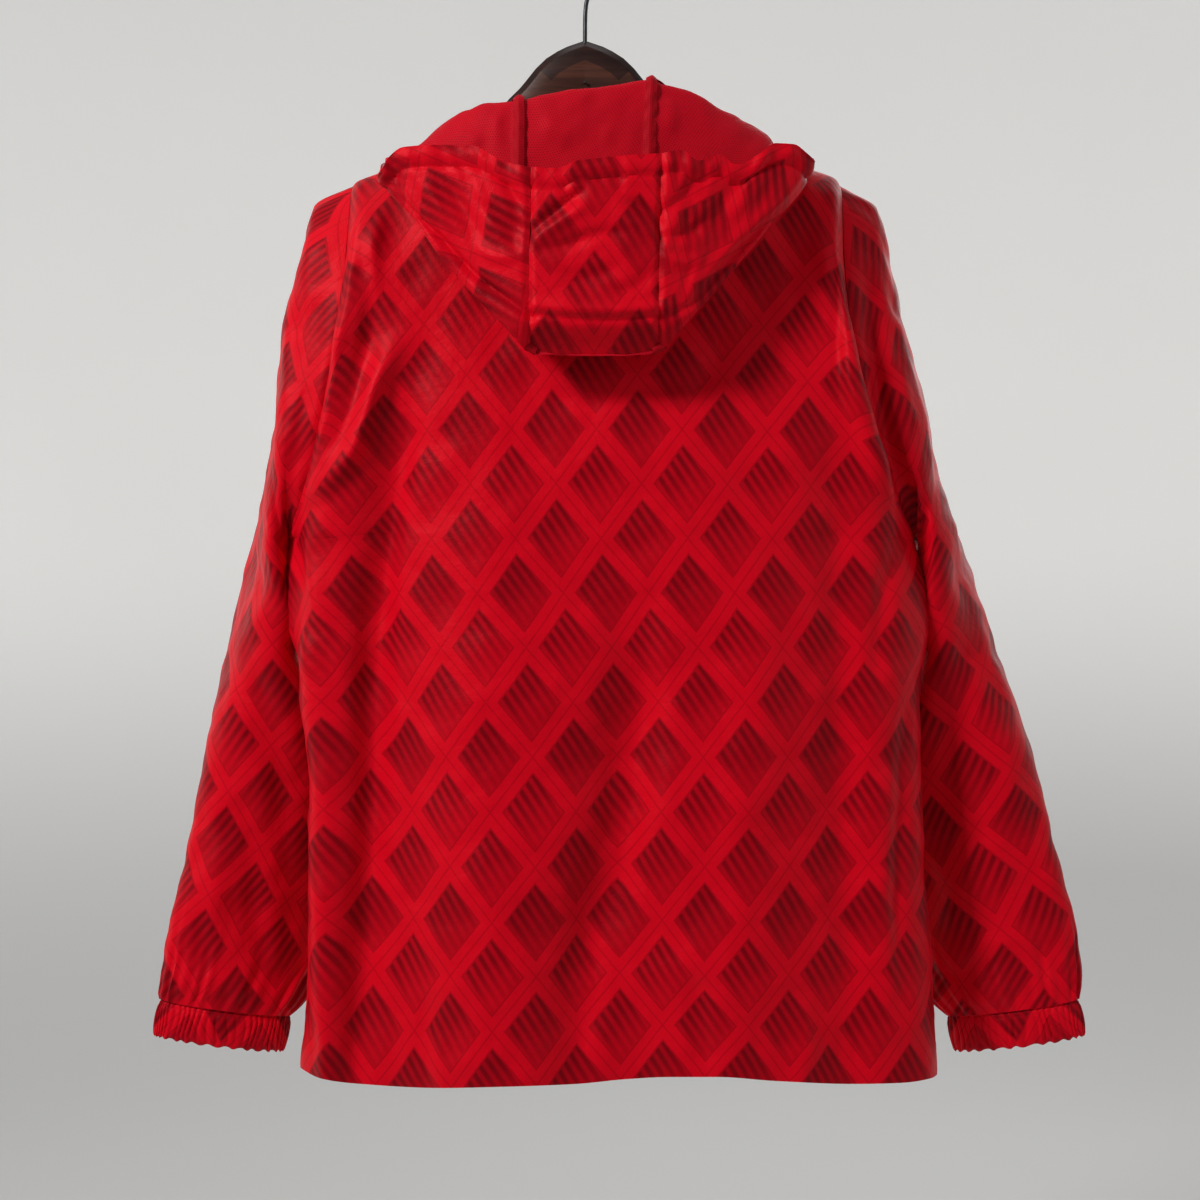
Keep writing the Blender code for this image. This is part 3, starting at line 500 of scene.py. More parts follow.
def neckPoint(step):
    step = np.asarray(step, float)
    side = np.array(body["neckSide"])
    behind = step <= body["neckSteps"]
    end = np.where(behind[..., None], np.array(body["neckBack"]), np.array(body["neckFront"]))
    turn = 0.5 * math.pi * np.minimum(step, 2 * body["neckSteps"] - step) / body["neckSteps"]
    away = np.cos(turn)
    x = np.maximum(side[0] * np.sin(turn), np.where(behind, 0.0, body["zipHalf"]))
    y = side[1] + (end[..., 1] - side[1]) * away
    return np.stack((x, y, side[2] + (end[..., 2] - side[2]) * away ** 2), -1)


def topPoint(face, column):
    neck = neckPoint(np.minimum(column, body["neckSteps"]) if face == "back"
                     else 2 * body["neckSteps"] - np.minimum(column, body["neckSteps"]))
    share = np.clip((column - body["neckSteps"]) / body["shoulderSteps"], 0, 1)[..., None]
    side = np.array(body["neckSide"])
    shoulder = side + (np.array(body["tip"]) - side) * share
    return np.where((column <= body["neckSteps"])[..., None], neck, shoulder)


def foldDepth(folds, across, z):
    total = np.zeros_like(across)
    for k in range(len(folds["deep"])):
        total += (folds["deep"][k] * bell(across - folds["across"][k], folds["spread"][k])
                  * ease(folds["top"][k], folds["full"][k], z))
    return total


def torsoHalf(face, side, folds):
    arm, neck = body["armSteps"], body["neckSteps"]
    row = np.concatenate((np.linspace(0, arm, body["armRows"] + 1),
                          arm + np.linspace(0, body["sideSteps"], body["sideRows"] + 1)[1:]))
    column = np.concatenate((np.linspace(0, neck, body["neckColumns"] + 1),
                             neck + np.linspace(0, body["shoulderSteps"], body["shoulderColumns"] + 1)[1:]))
    top = topPoint(face, column)[None]
    end = sidePoint(face, row)[:, None]
    row, column = row[:, None], column[None]
    spread = 1 - (1 - column / (neck + body["shoulderSteps"])) ** body["crowding"]
    out = top[..., 0] / body["tip"][0]
    out = out + (spread - out) * ease(0, body["spreadBy"], row)
    if face == "front":
        out = np.maximum(out, body["zipHalf"] / end[..., 0])
    z = end[..., 2] + (top[..., 2] - body["tip"][2]) * np.maximum(0, 1 - row / arm)
    bow = body["square"][face]
    seam = look(torso, "z", "seamY", z)
    y = seam + (look(torso, "z", face + "Y", z) - seam) * np.maximum(0, 1 - out ** bow) ** (1 / bow)
    atSeam = out ** body["edgePower"]
    y = y + (end[..., 1] - seam) * atSeam
    down = np.clip((top[..., 2] - z) / body["shoulderRound"], 0, 1)
    turned = np.sqrt(1 - (1 - down) ** 2)
    turned = turned + (1 - turned) * atSeam * ease(0, body["turnBy"], row)
    y = top[..., 1] + (y - top[..., 1]) * turned
    inward = 1 if face == "back" else -1
    y = y + inward * (1 - atSeam) * foldDepth(folds, side * out, z)
    y = relaxed(y, body["even"])
    # the cloth eases over the foot of the armhole
    near = bell(z - body["underarm"][2], body["footReach"]) * ease(*body["footFrom"], out)
    y = y + (relaxed(y, body["footEven"][0]) - y) * near
    x = end[..., 0] * out
    x = x + (relaxed(x, body["footEven"][1]) - x) * near
    return np.stack((x * side, y, z), -1)


# creases in frame px, down the cloth: line, left and right widths, depth in mm, fullness of the ends
backCreases = [
    ([(430, 296), (404, 420), (386, 520), (374, 640), (372, 800), (366, 960), (352, 1086)],
     22, 30, 5.0, 0.0, 0.5),
    ([(352, 470), (312, 560), (316, 680), (326, 800), (326, 980), (330, 1086)], 17, 15, -3.6, 0.0, 0.5),
    ([(412, 318), (374, 392), (352, 452), (300, 512)], 13, 17, -3.0, 0.0, 0.0),
    ([(352, 236), (372, 300), (360, 380), (330, 470)], 12, 12, 1.2, 0.0, 0.0),
    ([(384, 200), (372, 260), (378, 330)], 10, 12, -1.1, 0.0, 0.0),
    ([(640, 560), (640, 690), (622, 840), (598, 930), (574, 1086)], 26, 42, 4.0, 0.0, 0.6),
    ([(520, 420), (500, 600), (482, 800), (470, 1086)], 50, 60, -1.6, 0.0, 0.6),
    ([(760, 520), (752, 700), (742, 900), (740, 1086)], 46, 36, -1.4, 0.0, 0.5),
    ([(846, 330), (838, 470), (842, 640), (846, 850), (852, 1086)], 30, 24, 1.8, 0.0, 0.5),
    ([(842, 300), (852, 380), (878, 460), (906, 530)], 12, 14, -1.6, 0.0, 0.0),
    ([(826, 210), (836, 270), (838, 350), (848, 410)], 10, 9, 1.0, 0.0, 0.0),
    ([(905, 520), (884, 600), (876, 700)], 10, 14, 1.2, 0.0, 0.0),
    ([(290, 500), (310, 600), (340, 700)], 9, 12, 1.2, 0.0, 0.0),
    ([(925, 640), (905, 760), (898, 900), (906, 1040)], 12, 10, 1.3, 0.0, 0.0),
    ([(300, 700), (306, 820), (302, 960), (318, 1076)], 8, 9, 0.9, 0.0, 0.3),
    ([(480, 320), (560, 400), (700, 380), (740, 300)], 14, 14, 0.7, 0.0, 0.0),
    ([(690, 960), (700, 1020), (704, 1086)], 14, 18, 0.9, 0.0, 0.8),
    ([(430, 980), (424, 1040), (428, 1086)], 12, 14, 0.9, 0.0, 0.8),
    ([(800, 990), (806, 1040), (800, 1086)], 12, 16, -0.8, 0.0, 0.8),
]
frontCreases = [
    ([(410, 330), (400, 520), (384, 760), (376, 1086)], 26, 34, 2.6, 0.0, 0.5),
    ([(500, 420), (486, 640), (470, 860), (470, 1086)], 40, 40, -1.6, 0.0, 0.5),
    ([(560, 300), (548, 420), (556, 560)], 16, 20, 1.4, 0.0, 0.0),
    ([(720, 320), (700, 480), (704, 700), (716, 1086)], 34, 28, 2.2, 0.0, 0.5),
    ([(800, 360), (820, 520), (806, 760), (812, 1086)], 22, 26, 2.0, 0.0, 0.5),
    ([(850, 300), (858, 400), (890, 480)], 12, 14, -1.6, 0.0, 0.0),
    ([(360, 320), (346, 420), (312, 500)], 12, 14, -1.6, 0.0, 0.0),
    ([(300, 520), (318, 620), (340, 720)], 10, 12, 1.2, 0.0, 0.0),
    ([(900, 540), (884, 640), (870, 740)], 10, 12, 1.2, 0.0, 0.0),
    ([(640, 720), (652, 860), (646, 1086)], 18, 24, 1.5, 0.0, 0.6),
]
hemLine = table("px py",
    (285, 1050), (301, 1068), (323, 1079), (360, 1084), (441, 1088), (494, 1087), (575, 1084),
    (628, 1079), (668, 1077), (717, 1077), (776, 1081), (855, 1084), (899, 1083), (932, 1078), (948, 1062))


pucker = {"deep": 0.00035, "reach": 0.012, "clear": 0.003, "squash": 0.3, "waves": (0.008, 0.026, 10)}


def seamPucker(gap, along, seed, dip=0.0008, reach=0.0022):
    # cloth drawn in at a seam, with small puckers beside it
    draw = ripple(along, gap * pucker["squash"], seed, *pucker["waves"])
    beside = pucker["deep"] * draw * bell(gap, pucker["reach"]) * ease(0, pucker["clear"], gap)
    return dip * bell(gap, reach) + beside


def torsoSheet(name, grid, side, creases):
    grid = leaned(grid)
    across = lengthsAlong(grid, 1)
    outerGap = across[:, -1:] - across
    if name == "back":
        outerGap = np.minimum(outerGap, across)
    height = ((grid[..., 2] - body["fullZ"]) / body["fullHigh"]) ** 2
    full = np.exp(-height - (outerGap / body["fullWide"]) ** 2)
    grid[..., 0] += full * np.where(grid[..., 0] < 0, -body["fullLeft"], body["fullRight"])
    outward = -gridNormals(grid, side)
    px, py = seenAt(grid)
    rows = np.arange(grid.shape[0])[:, None]
    held = body["seamHeld"]
    hold = ease(0, body["topRows"], rows) * (held + (1 - held) * ease(0, body["seamReach"], outerGap))
    inside = creaseDepth(px, py, creases, body["creaseTight"]) * hold * body["creaseDeep"]
    v = lengthsAlong(grid[::-1], 0)[::-1]
    middle = grid.shape[1] // 2 if name == "back" else 0
    u = across - across[:, middle:middle + 1]
    if name == "front_right":
        u = -u
    for deep, seed, low, high, count in body["waves"]:
        inside = inside + deep * ripple(u, v, seed + len(name), low, high, count) * hold
    stitch = body["hemDepth"] - v
    inside = inside + body["stitchDeep"] * bell(stitch, body["stitchReach"])
    hemWaves = ripple(u, v * 0.4, 5, 0.007, 0.022, 12)
    inside = inside + body["puckerDeep"] * hemWaves * bell(stitch, body["puckerReach"])
    inside = inside + seamPucker(outerGap, v, 71) * (rows > 3)
    if name != "back":
        stitched = bell(across - body["zipFold"], body["zipFoldReach"])
        inside = inside + body["zipFoldDeep"] * stitched * (rows > 3)
    grid = grid - outward * inside[..., None]
    turning = ease(body["hemDepth"] + body["hemStep"], body["hemDepth"] - body["hemStep"], v)
    thick = body["thick"] + (body["hemThick"] - body["thick"]) * turning
    rim = ease(0.0, body["rimReach"], v)                        # the lowest edge is rounded
    thick = thick * (body["rimThin"] + (1 - body["rimThin"]) * rim)
    grid = grid - outward * (body["rimIn"] * (1 - rim))[..., None]
    if name == "back":
        px, py = seenAt(grid)
        drop = look(hemLine, "px", "py", px[-1]) - py[-1]
        grid[..., 2] -= ease(body["hemFollows"], 0.0, v) * (drop * body["perPixel"])[None]
    sheetWall(name + "Panel", grid, np.stack((u, v), -1), side, thick, shellCloth, name)


leftHalf = torsoHalf("back", -1.0, backFolds)
rightHalf = torsoHalf("back", 1.0, backFolds)
torsoSheet("back", np.concatenate((leftHalf[:, :0:-1], rightHalf), 1), -1.0, backCreases)
for name, side in (("front_right", 1.0), ("front_left", -1.0)):
    torsoSheet(name, torsoHalf("front", side, frontFolds), side, frontCreases)

# sleeves
sleeve = {"rings": 150, "around": 150, "settle": 0.30, "thick": 0.00045,
          "waves": ((0.0022, 101, 0.05, 0.14, 20, 0.35), (0.0010, 131, 0.018, 0.05, 24, None)),
          "gathers": 39, "gatherDeep": 0.0017, "gatherReach": 0.045, "puffAt": 0.018, "puffDeep": 0.0032,
          "puffReach": 0.014, "headDeep": 0.0008, "headReach": 0.0022, "middle": 618, "mostShift": 12,
          "perPixel": 0.00079, "evened": 9}
sleeveLines = table("share outX outY outZ inX inY inZ half",
    (0.00, 0.1910, 0.030, -0.184, 0.2405, 0.034, -0.460, 0.052),
    (0.05, 0.2125, 0.037, -0.199, 0.2450, 0.040, -0.462, 0.054),
    (0.13, 0.2230, 0.046, -0.244, 0.2485, 0.047, -0.466, 0.057),
    (0.22, 0.2345, 0.053, -0.293, 0.2465, 0.055, -0.472, 0.060),
    (0.31, 0.2510, 0.059, -0.352, 0.2455, 0.063, -0.480, 0.062),
    (0.40, 0.2685, 0.063, -0.410, 0.2445, 0.072, -0.492, 0.063),
    (0.49, 0.2860, 0.066, -0.470, 0.2445, 0.083, -0.512, 0.062),
    (0.58, 0.3025, 0.066, -0.530, 0.2475, 0.086, -0.548, 0.056),
    (0.67, 0.3190, 0.063, -0.592, 0.2290, 0.102, -0.608, 0.051),
    (0.76, 0.3340, 0.059, -0.653, 0.2220, 0.108, -0.670, 0.041),
    (0.85, 0.3485, 0.054, -0.717, 0.2240, 0.108, -0.736, 0.031),
    (0.93, 0.3620, 0.050, -0.778, 0.2420, 0.095, -0.799, 0.024),
    (1.00, 0.3640, 0.047, -0.823, 0.2640, 0.074, -0.842, 0.015))
sleeveFolds = table("share spread turn width deep",
    (0.10, 0.060, 0.30, 0.50, 0.0050), (0.34, 0.050, 0.55, 0.70, 0.0040),
    (0.50, 0.035, 0.20, 0.60, 0.0050), (0.58, 0.030, 0.80, 0.60, 0.0030),
    (0.80, 0.035, 0.40, 0.60, 0.0040), (0.93, 0.022, 0.60, 0.80, -0.0030))
rightSleeveCreases = [
    ([(866, 214), (868, 290), (882, 400), (900, 480), (930, 560)], 9, 12, 9.0, 0.2, 0.0),
    ([(884, 300), (906, 400), (936, 500)], 12, 12, -2.0, 0.0, 0.0),
    ([(940, 474), (916, 520), (924, 600)], 14, 12, 2.2, 0.4, 0.0),
    ([(996, 655), (968, 655), (944, 676)], 8, 10, 2.2, 0.5, 0.0),
    ([(955, 560), (966, 640), (948, 760), (944, 880)], 16, 22, 2.4, 0.0, 0.0),
    ([(1000, 690), (1004, 790), (988, 900), (1004, 980)], 16, 16, -2.2, 0.0, 0.0),
    ([(1028, 760), (1034, 850), (1020, 940)], 12, 16, 1.8, 0.0, 0.0),
    ([(945, 984), (984, 962), (1026, 944)], 7, 9, 1.8, 0.0, 0.0),
    ([(1016, 1002), (1015, 972), (1024, 950)], 6, 7, 1.4, 0.6, 0.0),
    ([(985, 820), (960, 880), (948, 950)], 10, 12, -1.4, 0.0, 0.0),
    ([(1060, 900), (1040, 940), (1036, 990)], 10, 9, 1.5, 0.0, 0.4),
]
leftSleeveCreases = [
    ([(328, 250), (312, 330), (300, 410), (280, 490)], 12, 14, 3.4, 0.0, 0.0),
    ([(330, 300), (296, 400), (276, 480)], 10, 12, -1.6, 0.0, 0.0),
    ([(240, 600), (262, 700), (282, 800), (284, 900)], 15, 18, 4.0, 0.0, 0.0),
    ([(222, 668), (246, 680), (268, 706)], 9, 10, 2.0, 0.6, 0.0),
    ([(232, 760), (246, 850), (258, 950), (262, 1000)], 14, 14, 3.2, 0.0, 0.2),
    ([(206, 780), (214, 880), (206, 980)], 13, 14, -2.0, 0.0, 0.0),
    ([(262, 520), (252, 580), (262, 650)], 10, 12, -1.5, 0.0, 0.0),
    ([(190, 900), (200, 950), (192, 996)], 8, 10, 1.6, 0.0, 0.5),
    ([(230, 950), (224, 980), (228, 1010)], 7, 8, 1.5, 0.0, 0.8),
    ([(268, 430), (262, 480), (250, 540)], 9, 9, 1.4, 0.0, 0.0),
]
# the side away from the camera, for either sleeve, measured from the middle of the body
hiddenSleeveCreases = [
    ([(258, 250), (280, 350), (330, 470)], 10, 14, 4.5, 0.2, 0.0),
    ([(330, 420), (322, 520), (340, 620)], 14, 16, 2.4, 0.0, 0.0),
    ([(380, 560), (360, 590), (330, 600)], 9, 10, 2.4, 0.3, 0.0),
    ([(392, 640), (372, 668), (338, 676)], 9, 10, 2.0, 0.3, 0.0),
    ([(400, 720), (384, 820), (396, 930)], 13, 15, 2.4, 0.0, 0.0),
    ([(356, 760), (352, 860), (372, 960)], 12, 13, -2.0, 0.0, 0.0),
    ([(440, 900), (424, 950), (430, 1000)], 8, 9, 1.6, 0.0, 0.6),
]
outerLine = {  # the sleeves' outer outline in the frame
    "right": table("py px",
        (180, 842), (200, 860), (220, 868), (240, 871), (270, 874), (300, 879), (360, 899), (420, 919),
        (480, 940), (540, 960), (600, 981), (660, 1000), (720, 1022), (780, 1040), (840, 1053),
        (900, 1070), (960, 1081), (990, 1081)),
    "left": table("py px",
        (180, 368), (200, 339), (220, 324), (240, 313), (270, 307), (300, 303), (360, 290), (420, 278),
        (480, 267), (540, 253), (600, 238), (660, 224), (720, 211), (780, 200), (840, 189), (900, 175),
        (960, 163), (985, 161)),
}


def sleeveFrame(share):
    share = np.asarray(share, float)
    ends = [np.stack([look(sleeveLines, "share", end + axis, share) for axis in "XYZ"], -1)
            for end in ("out", "in")]
    width = (ends[0] - ends[1]) / 2
    level = unit(width)
    across = unit(np.array((0.0, 1.0, 0.0)) - level * level[..., 1:2])
    return (ends[0] + ends[1]) / 2, width, across * look(sleeveLines, "share", "half", share)[..., None]


def sleeveRound(share, turn):
    middle, width, across = sleeveFrame(share)
    return middle + width * np.cos(turn)[..., None] - across * np.sin(turn)[..., None]


def sleeveAxis():
    ahead = sleeveFrame(1.0)[0] - sleeveFrame(0.93)[0]
    width, across = sleeveFrame(1.0)[1:]
    ahead = ahead - unit(width) * np.dot(ahead, unit(width))
    return unit(ahead - unit(across) * np.dot(ahead, unit(across)))


def sleeveGrid():
    share = np.linspace(0, 1, sleeve["rings"] + 1)[:, None]
    turn = np.linspace(-math.pi, math.pi, sleeve["around"] + 1)[None]   # cut along the inner line
    share, turn = np.broadcast_arrays(share, turn)
    point = sleeveRound(share, turn)
    step = np.abs(turn) / math.pi * body["armSteps"]
    start = np.where((turn >= 0)[..., None], armLoop("back", step), armLoop("front", step))
    settle = np.maximum(0, 1 - share / sleeve["settle"]) ** 2
    point = point + (start - sleeveRound(np.zeros_like(share), turn)) * settle[..., None]
    fold = np.zeros_like(share)
    for k in range(len(sleeveFolds["deep"])):
        along = bell(share - sleeveFolds["share"][k], sleeveFolds["spread"][k])
        gap = np.mod(turn - math.pi * sleeveFolds["turn"][k] + math.pi, math.tau) - math.pi
        fold = fold + sleeveFolds["deep"][k] * along * bell(gap, sleeveFolds["width"][k])
    fold = fold * ease(0.0, 0.06, share) * ease(1.0, 0.96, share)
    return point + unit(sleeveFrame(share)[0] - point) * fold[..., None], share, turn


def flattened(grid, outward, side):
    # the cloth laid flat: up along the arm, and round it square to that
    arm = unit(grid[-1].mean(0) - grid[0, sleeve["around"] // 2])
    square = unit(np.cross(arm, outward))
    steps = (np.diff(grid, axis=1) * (square[:, 1:] + square[:, :-1]) / 2).sum(-1)
    u = runOf(steps, 1)
    u = u - u[:, [sleeve["around"] // 2]]
    # over the head it is measured level, out from the armhole round the outer line
    outer = grid[::-1, sleeve["around"] // 2]
    outX, outY = (np.interp(grid[..., 2], outer[:, 2], values)
                  for values in (np.abs(outer[:, 0]), outer[:, 1]))
    level = outX - np.abs(grid[..., 0]) + np.abs(grid[..., 1] - outY)
    level = level * np.sign(outY - grid[..., 1]) * side
    low = ease(0.22, 0.46, np.linspace(0, 1, grid.shape[0]))[:, None]
    return level + (u - level) * low, -(grid @ arm)


def sleeveSheet(name, side, creases):
    grid, share, turn = sleeveGrid()
    grid = leaned(grid * np.array((side, 1.0, 1.0)))
    outward = -gridNormals(grid, side)
    px, py = seenAt(grid)
    toCuff = lengthsAlong(grid[::-1], 0)[::-1]
    across = lengthsAlong(grid, 1)
    fromHead = lengthsAlong(grid, 0)
    u, v = flattened(grid, outward, side)
    seen = ease(0.05, -0.35, outward[..., 1])
    hidden = ease(-0.05, 0.35, outward[..., 1])
    hold = ease(0.0, 0.03, share) * ease(0.0, 0.012, toCuff)
    inside = creaseDepth(px, py, creases) * seen
    inside = inside + creaseDepth(np.abs(px - sleeve["middle"]), py, hiddenSleeveCreases) * hidden
    for deep, seed, low, high, count, leaning in sleeve["waves"]:
        inside = inside + deep * ripple(u, v, seed + int(side), low, high, count, leaning)
    inside = inside * hold
    # gathers above the cuff, each a little wider or narrower than the next
    draw = np.random.default_rng(211 + int(side))
    last = sleeve["gathers"]
    phases = np.cumsum(draw.uniform(0.75, 1.25, last + 1))
    gathers = curve(np.arange(last + 1), phases / phases[-1] * last, (turn + math.pi) / math.tau * last)
    near = bell(toCuff, sleeve["gatherReach"]) * ease(0, 0.004, toCuff)
    waves = np.sin(gathers * math.tau * 0.72) * (0.6 + 0.4 * np.sin(gathers * 1.7))
    inside = inside + sleeve["gatherDeep"] * near * waves
    inside = inside - sleeve["puffDeep"] * bell(toCuff - sleeve["puffAt"], sleeve["puffReach"])
    inside = inside + seamPucker(np.minimum(across, across[:, -1:] - across), v, 77) * (share > 0.02)
    inside = inside + sleeve["headDeep"] * bell(fromHead, sleeve["headReach"])
    grid = grid - outward * inside[..., None]
    # the outline as it is seen
    px, py = seenAt(grid)
    outermost = (px.argmax(1) if side > 0 else px.argmin(1))[:, None]
    lineNow, rowNow = (np.take_along_axis(places, outermost, 1)[:, 0] for places in (px, py))
    wanted = look(outerLine["right" if side > 0 else "left"], "py", "px", rowNow)
    shift = np.clip(wanted - lineNow, -sleeve["mostShift"], sleeve["mostShift"]) * sleeve["perPixel"]
    evened = sleeve["evened"]
    shift = np.convolve(np.pad(shift, evened // 2, mode="edge"), np.ones(evened) / evened, mode="valid")
    outerShare = ease(0.35, 1.0, np.cos(turn) * 0.5 + 0.5) * ease(0.0, 0.05, share) * ease(1.0, 0.97, share)
    grid[..., 0] += shift[:, None] * outerShare
    sheetWall(name.replace("_", "") + "Panel", grid, np.stack((u, v), -1), side, sleeve["thick"],
              shellCloth, name)


sleeveSheet("sleeve_right", 1.0, rightSleeveCreases)
sleeveSheet("sleeve_left", -1.0, leftSleeveCreases)

# cuffs
cuff = {"depth": 0.029, "gathers": 56, "perGather": 8, "rows": 24, "height": 0.0011, "bulge": 0.0012,
        "thick": 0.0022, "inset": 0.0006, "dents": ((0.0012, 0.05, 0.035), (0.0007, 0.14, 0.03)),
        "rimIn": 0.0009, "rise": 0.0009, "clear": 0.0002, "gathered": 1.75, "printWide": 0.6,
        "printUp": 0.62}


def cuffSheet(name, side):
    middle, width, across = sleeveFrame(1.0)
    axis = sleeveAxis()
    count = cuff["gathers"] * cuff["perGather"]
    turn = np.linspace(-math.pi, math.pi, count + 1)[None]
    along = np.linspace(0, 1, cuff["rows"] + 1)[:, None]
    turn, along = np.broadcast_arrays(turn, along)
    out = unit(width / np.dot(width, width) * np.cos(turn)[..., None]
               - across / np.dot(across, across) * np.sin(turn)[..., None])
    draw = np.random.default_rng(307 + int(side))
    widths = np.cumsum(np.concatenate(([0.0], draw.uniform(0.6, 1.4, cuff["gathers"]))))
    at = np.interp((turn + math.pi) / math.tau * cuff["gathers"], np.arange(cuff["gathers"] + 1),
                   widths / widths[-1] * cuff["gathers"])
    drift = 0.35 * np.sin(along * math.pi + turn * 5.0) * ease(0, 0.2, along) * ease(1, 0.8, along)
    wave = np.abs(np.sin((at + drift) * math.pi))
    strength = 0.65 + 0.35 * np.sin(turn * 9.0 + 1.3) * np.sin(turn * 4.0 + along * 2.0)
    radial = cuff["height"] * (wave ** 0.7 * 2 - 1.35) * strength * (0.55 + 0.45 * np.sin(math.pi * along))
    radial = radial + cuff["bulge"] * np.sin(math.pi * along) - cuff["inset"]
    for deep, level, reach in cuff["dents"]:               # the seam to the sleeve and its stitches
        radial = radial - deep * bell(along - level, reach)
    radial = radial - cuff["rimIn"] * ease(0.93, 1.0, along)
    rise = cuff["rise"] * np.sin(at * math.tau * 0.5 + 0.6) * along
    grid = (middle + width * np.cos(turn)[..., None] - across * np.sin(turn)[..., None]
            + out * radial[..., None] + axis * (cuff["clear"] + cuff["depth"] * along + rise)[..., None])
    grid = leaned(grid * np.array((side, 1.0, 1.0)))
    around = lengthsAlong(grid[:1], 1)
    u = (around - around[:, [count // 2]]) * cuff["gathered"] * cuff["printWide"]
    v = along * cuff["depth"] + cuff["printUp"]
    sheetWall(name.replace("_", "") + "Casing", grid, np.stack(np.broadcast_arrays(u, v), -1), side,
              cuff["thick"], shellCloth, name)


cuffSheet("cuff_right", 1.0)
cuffSheet("cuff_left", -1.0)

# hood
hood = {"rows": 180, "centreColumns": 64, "sideColumns": 124, "centreSteps": 3, "lastStep": 12,
        "swing": 0.012,
        "shares": (0.0, 0.05, 0.16, 0.56, 0.65, 1.0),
        "stand": (0.003, -0.001, 0.010), "thick": 0.00045, "casing": 0.9, "liningBelow": 0.0013,
        "liningThick": 0.0004, "liningDeep": 2, "liningWaves": (0.0009, 500, 0.02, 0.06, 18),
        "tapeBelow": 0.0026, "tapeWide": 0.009, "tapeThick": 0.0004, "tapeLines": 9, "tapeBow": 0.0004,
        "ruffle": 0.0005, "ruffleRate": 420, "turnedIn": 0.014, "swingWide": 0.10, "mostFall": 0.012,
        "rollPixel": 0.00074, "edgePixel": 0.00071, "creaseDeep": 1.7, "flatFrom": 0.605,
        "cut": {"centre": 0.0, "right": 0.42, "left": -0.50},              # turn of each panel's print
        "waves": ((0.0007, 400, 0.03, 0.09, 20), (0.0003, 420, 0.012, 0.03, 20)),
        "stitch": (0.0018, 0.0150, 0.0016), "puff": (0.0014, 0.0070, 0.0050),    # depth, place and reach
        "gather": (0.0016, 0.006, 0.012), "gatherWaves": (0.012, 0.034, 12),
        "seamDip": (0.0026, 0.0026), "casingThick": 0.0011}
hoodLines = table("step rollX rollY rollZ farX farY farZ nearX nearY nearZ edgeX edgeY edgeZ",
    (0, 0.000, -0.044, -0.129, 0.000, -0.056, -0.320, 0.000, -0.084, -0.330, 0.000, -0.099, -0.192),
    (1, 0.016, -0.043, -0.129, 0.016, -0.056, -0.319, 0.016, -0.084, -0.330, 0.016, -0.099, -0.192),
    (2, 0.032, -0.042, -0.129, 0.032, -0.056, -0.318, 0.032, -0.083, -0.329, 0.032, -0.098, -0.191),
    (3, 0.048, -0.040, -0.131, 0.047, -0.056, -0.316, 0.047, -0.082, -0.327, 0.047, -0.097, -0.190),
    (4, 0.068, -0.036, -0.135, 0.066, -0.056, -0.296, 0.067, -0.079, -0.308, 0.070, -0.093, -0.185),
    (5, 0.089, -0.028, -0.140, 0.090, -0.056, -0.266, 0.093, -0.073, -0.278, 0.100, -0.086, -0.182),
    (6, 0.109, -0.018, -0.148, 0.120, -0.052, -0.226, 0.125, -0.070, -0.238, 0.134, -0.080, -0.182),
    (7, 0.125, -0.002, -0.156, 0.147, -0.028, -0.186, 0.154, -0.047, -0.198, 0.160, -0.064, -0.191),
    (8, 0.124, 0.030, -0.154, 0.141, 0.021, -0.160, 0.152, 0.010, -0.167, 0.162, -0.002, -0.173),
    (9, 0.108, 0.068, -0.158, 0.122, 0.062, -0.156, 0.134, 0.056, -0.157, 0.147, 0.050, -0.158),
    (10, 0.083, 0.087, -0.163, 0.094, 0.087, -0.158, 0.104, 0.086, -0.154, 0.115, 0.085, -0.150),
    (11, 0.043, 0.102, -0.174, 0.049, 0.105, -0.164, 0.055, 0.108, -0.153, 0.061, 0.110, -0.141),
    (12, 0.005, 0.108, -0.186, 0.005, 0.111, -0.168, 0.005, 0.114, -0.150, 0.005, 0.117, -0.132))
faceEdge = table("px py",
    (379, 174), (390, 156), (403, 147), (431, 145), (474, 146), (490, 154), (505, 162), (534, 167),
    (558, 168), (575, 161), (600, 158), (630, 155), (660, 153), (682, 150), (697, 161), (708, 158),
    (720, 154), (737, 167), (758, 154), (775, 143), (794, 144), (807, 153), (821, 167))
rollLine = table("px py",
    (470, 113), (487, 106), (511, 104), (543, 98), (573, 92), (602, 90), (618, 88), (633, 84), (645, 82),
    (661, 86), (680, 91), (700, 99), (720, 112), (737, 120), (752, 128), (769, 140))
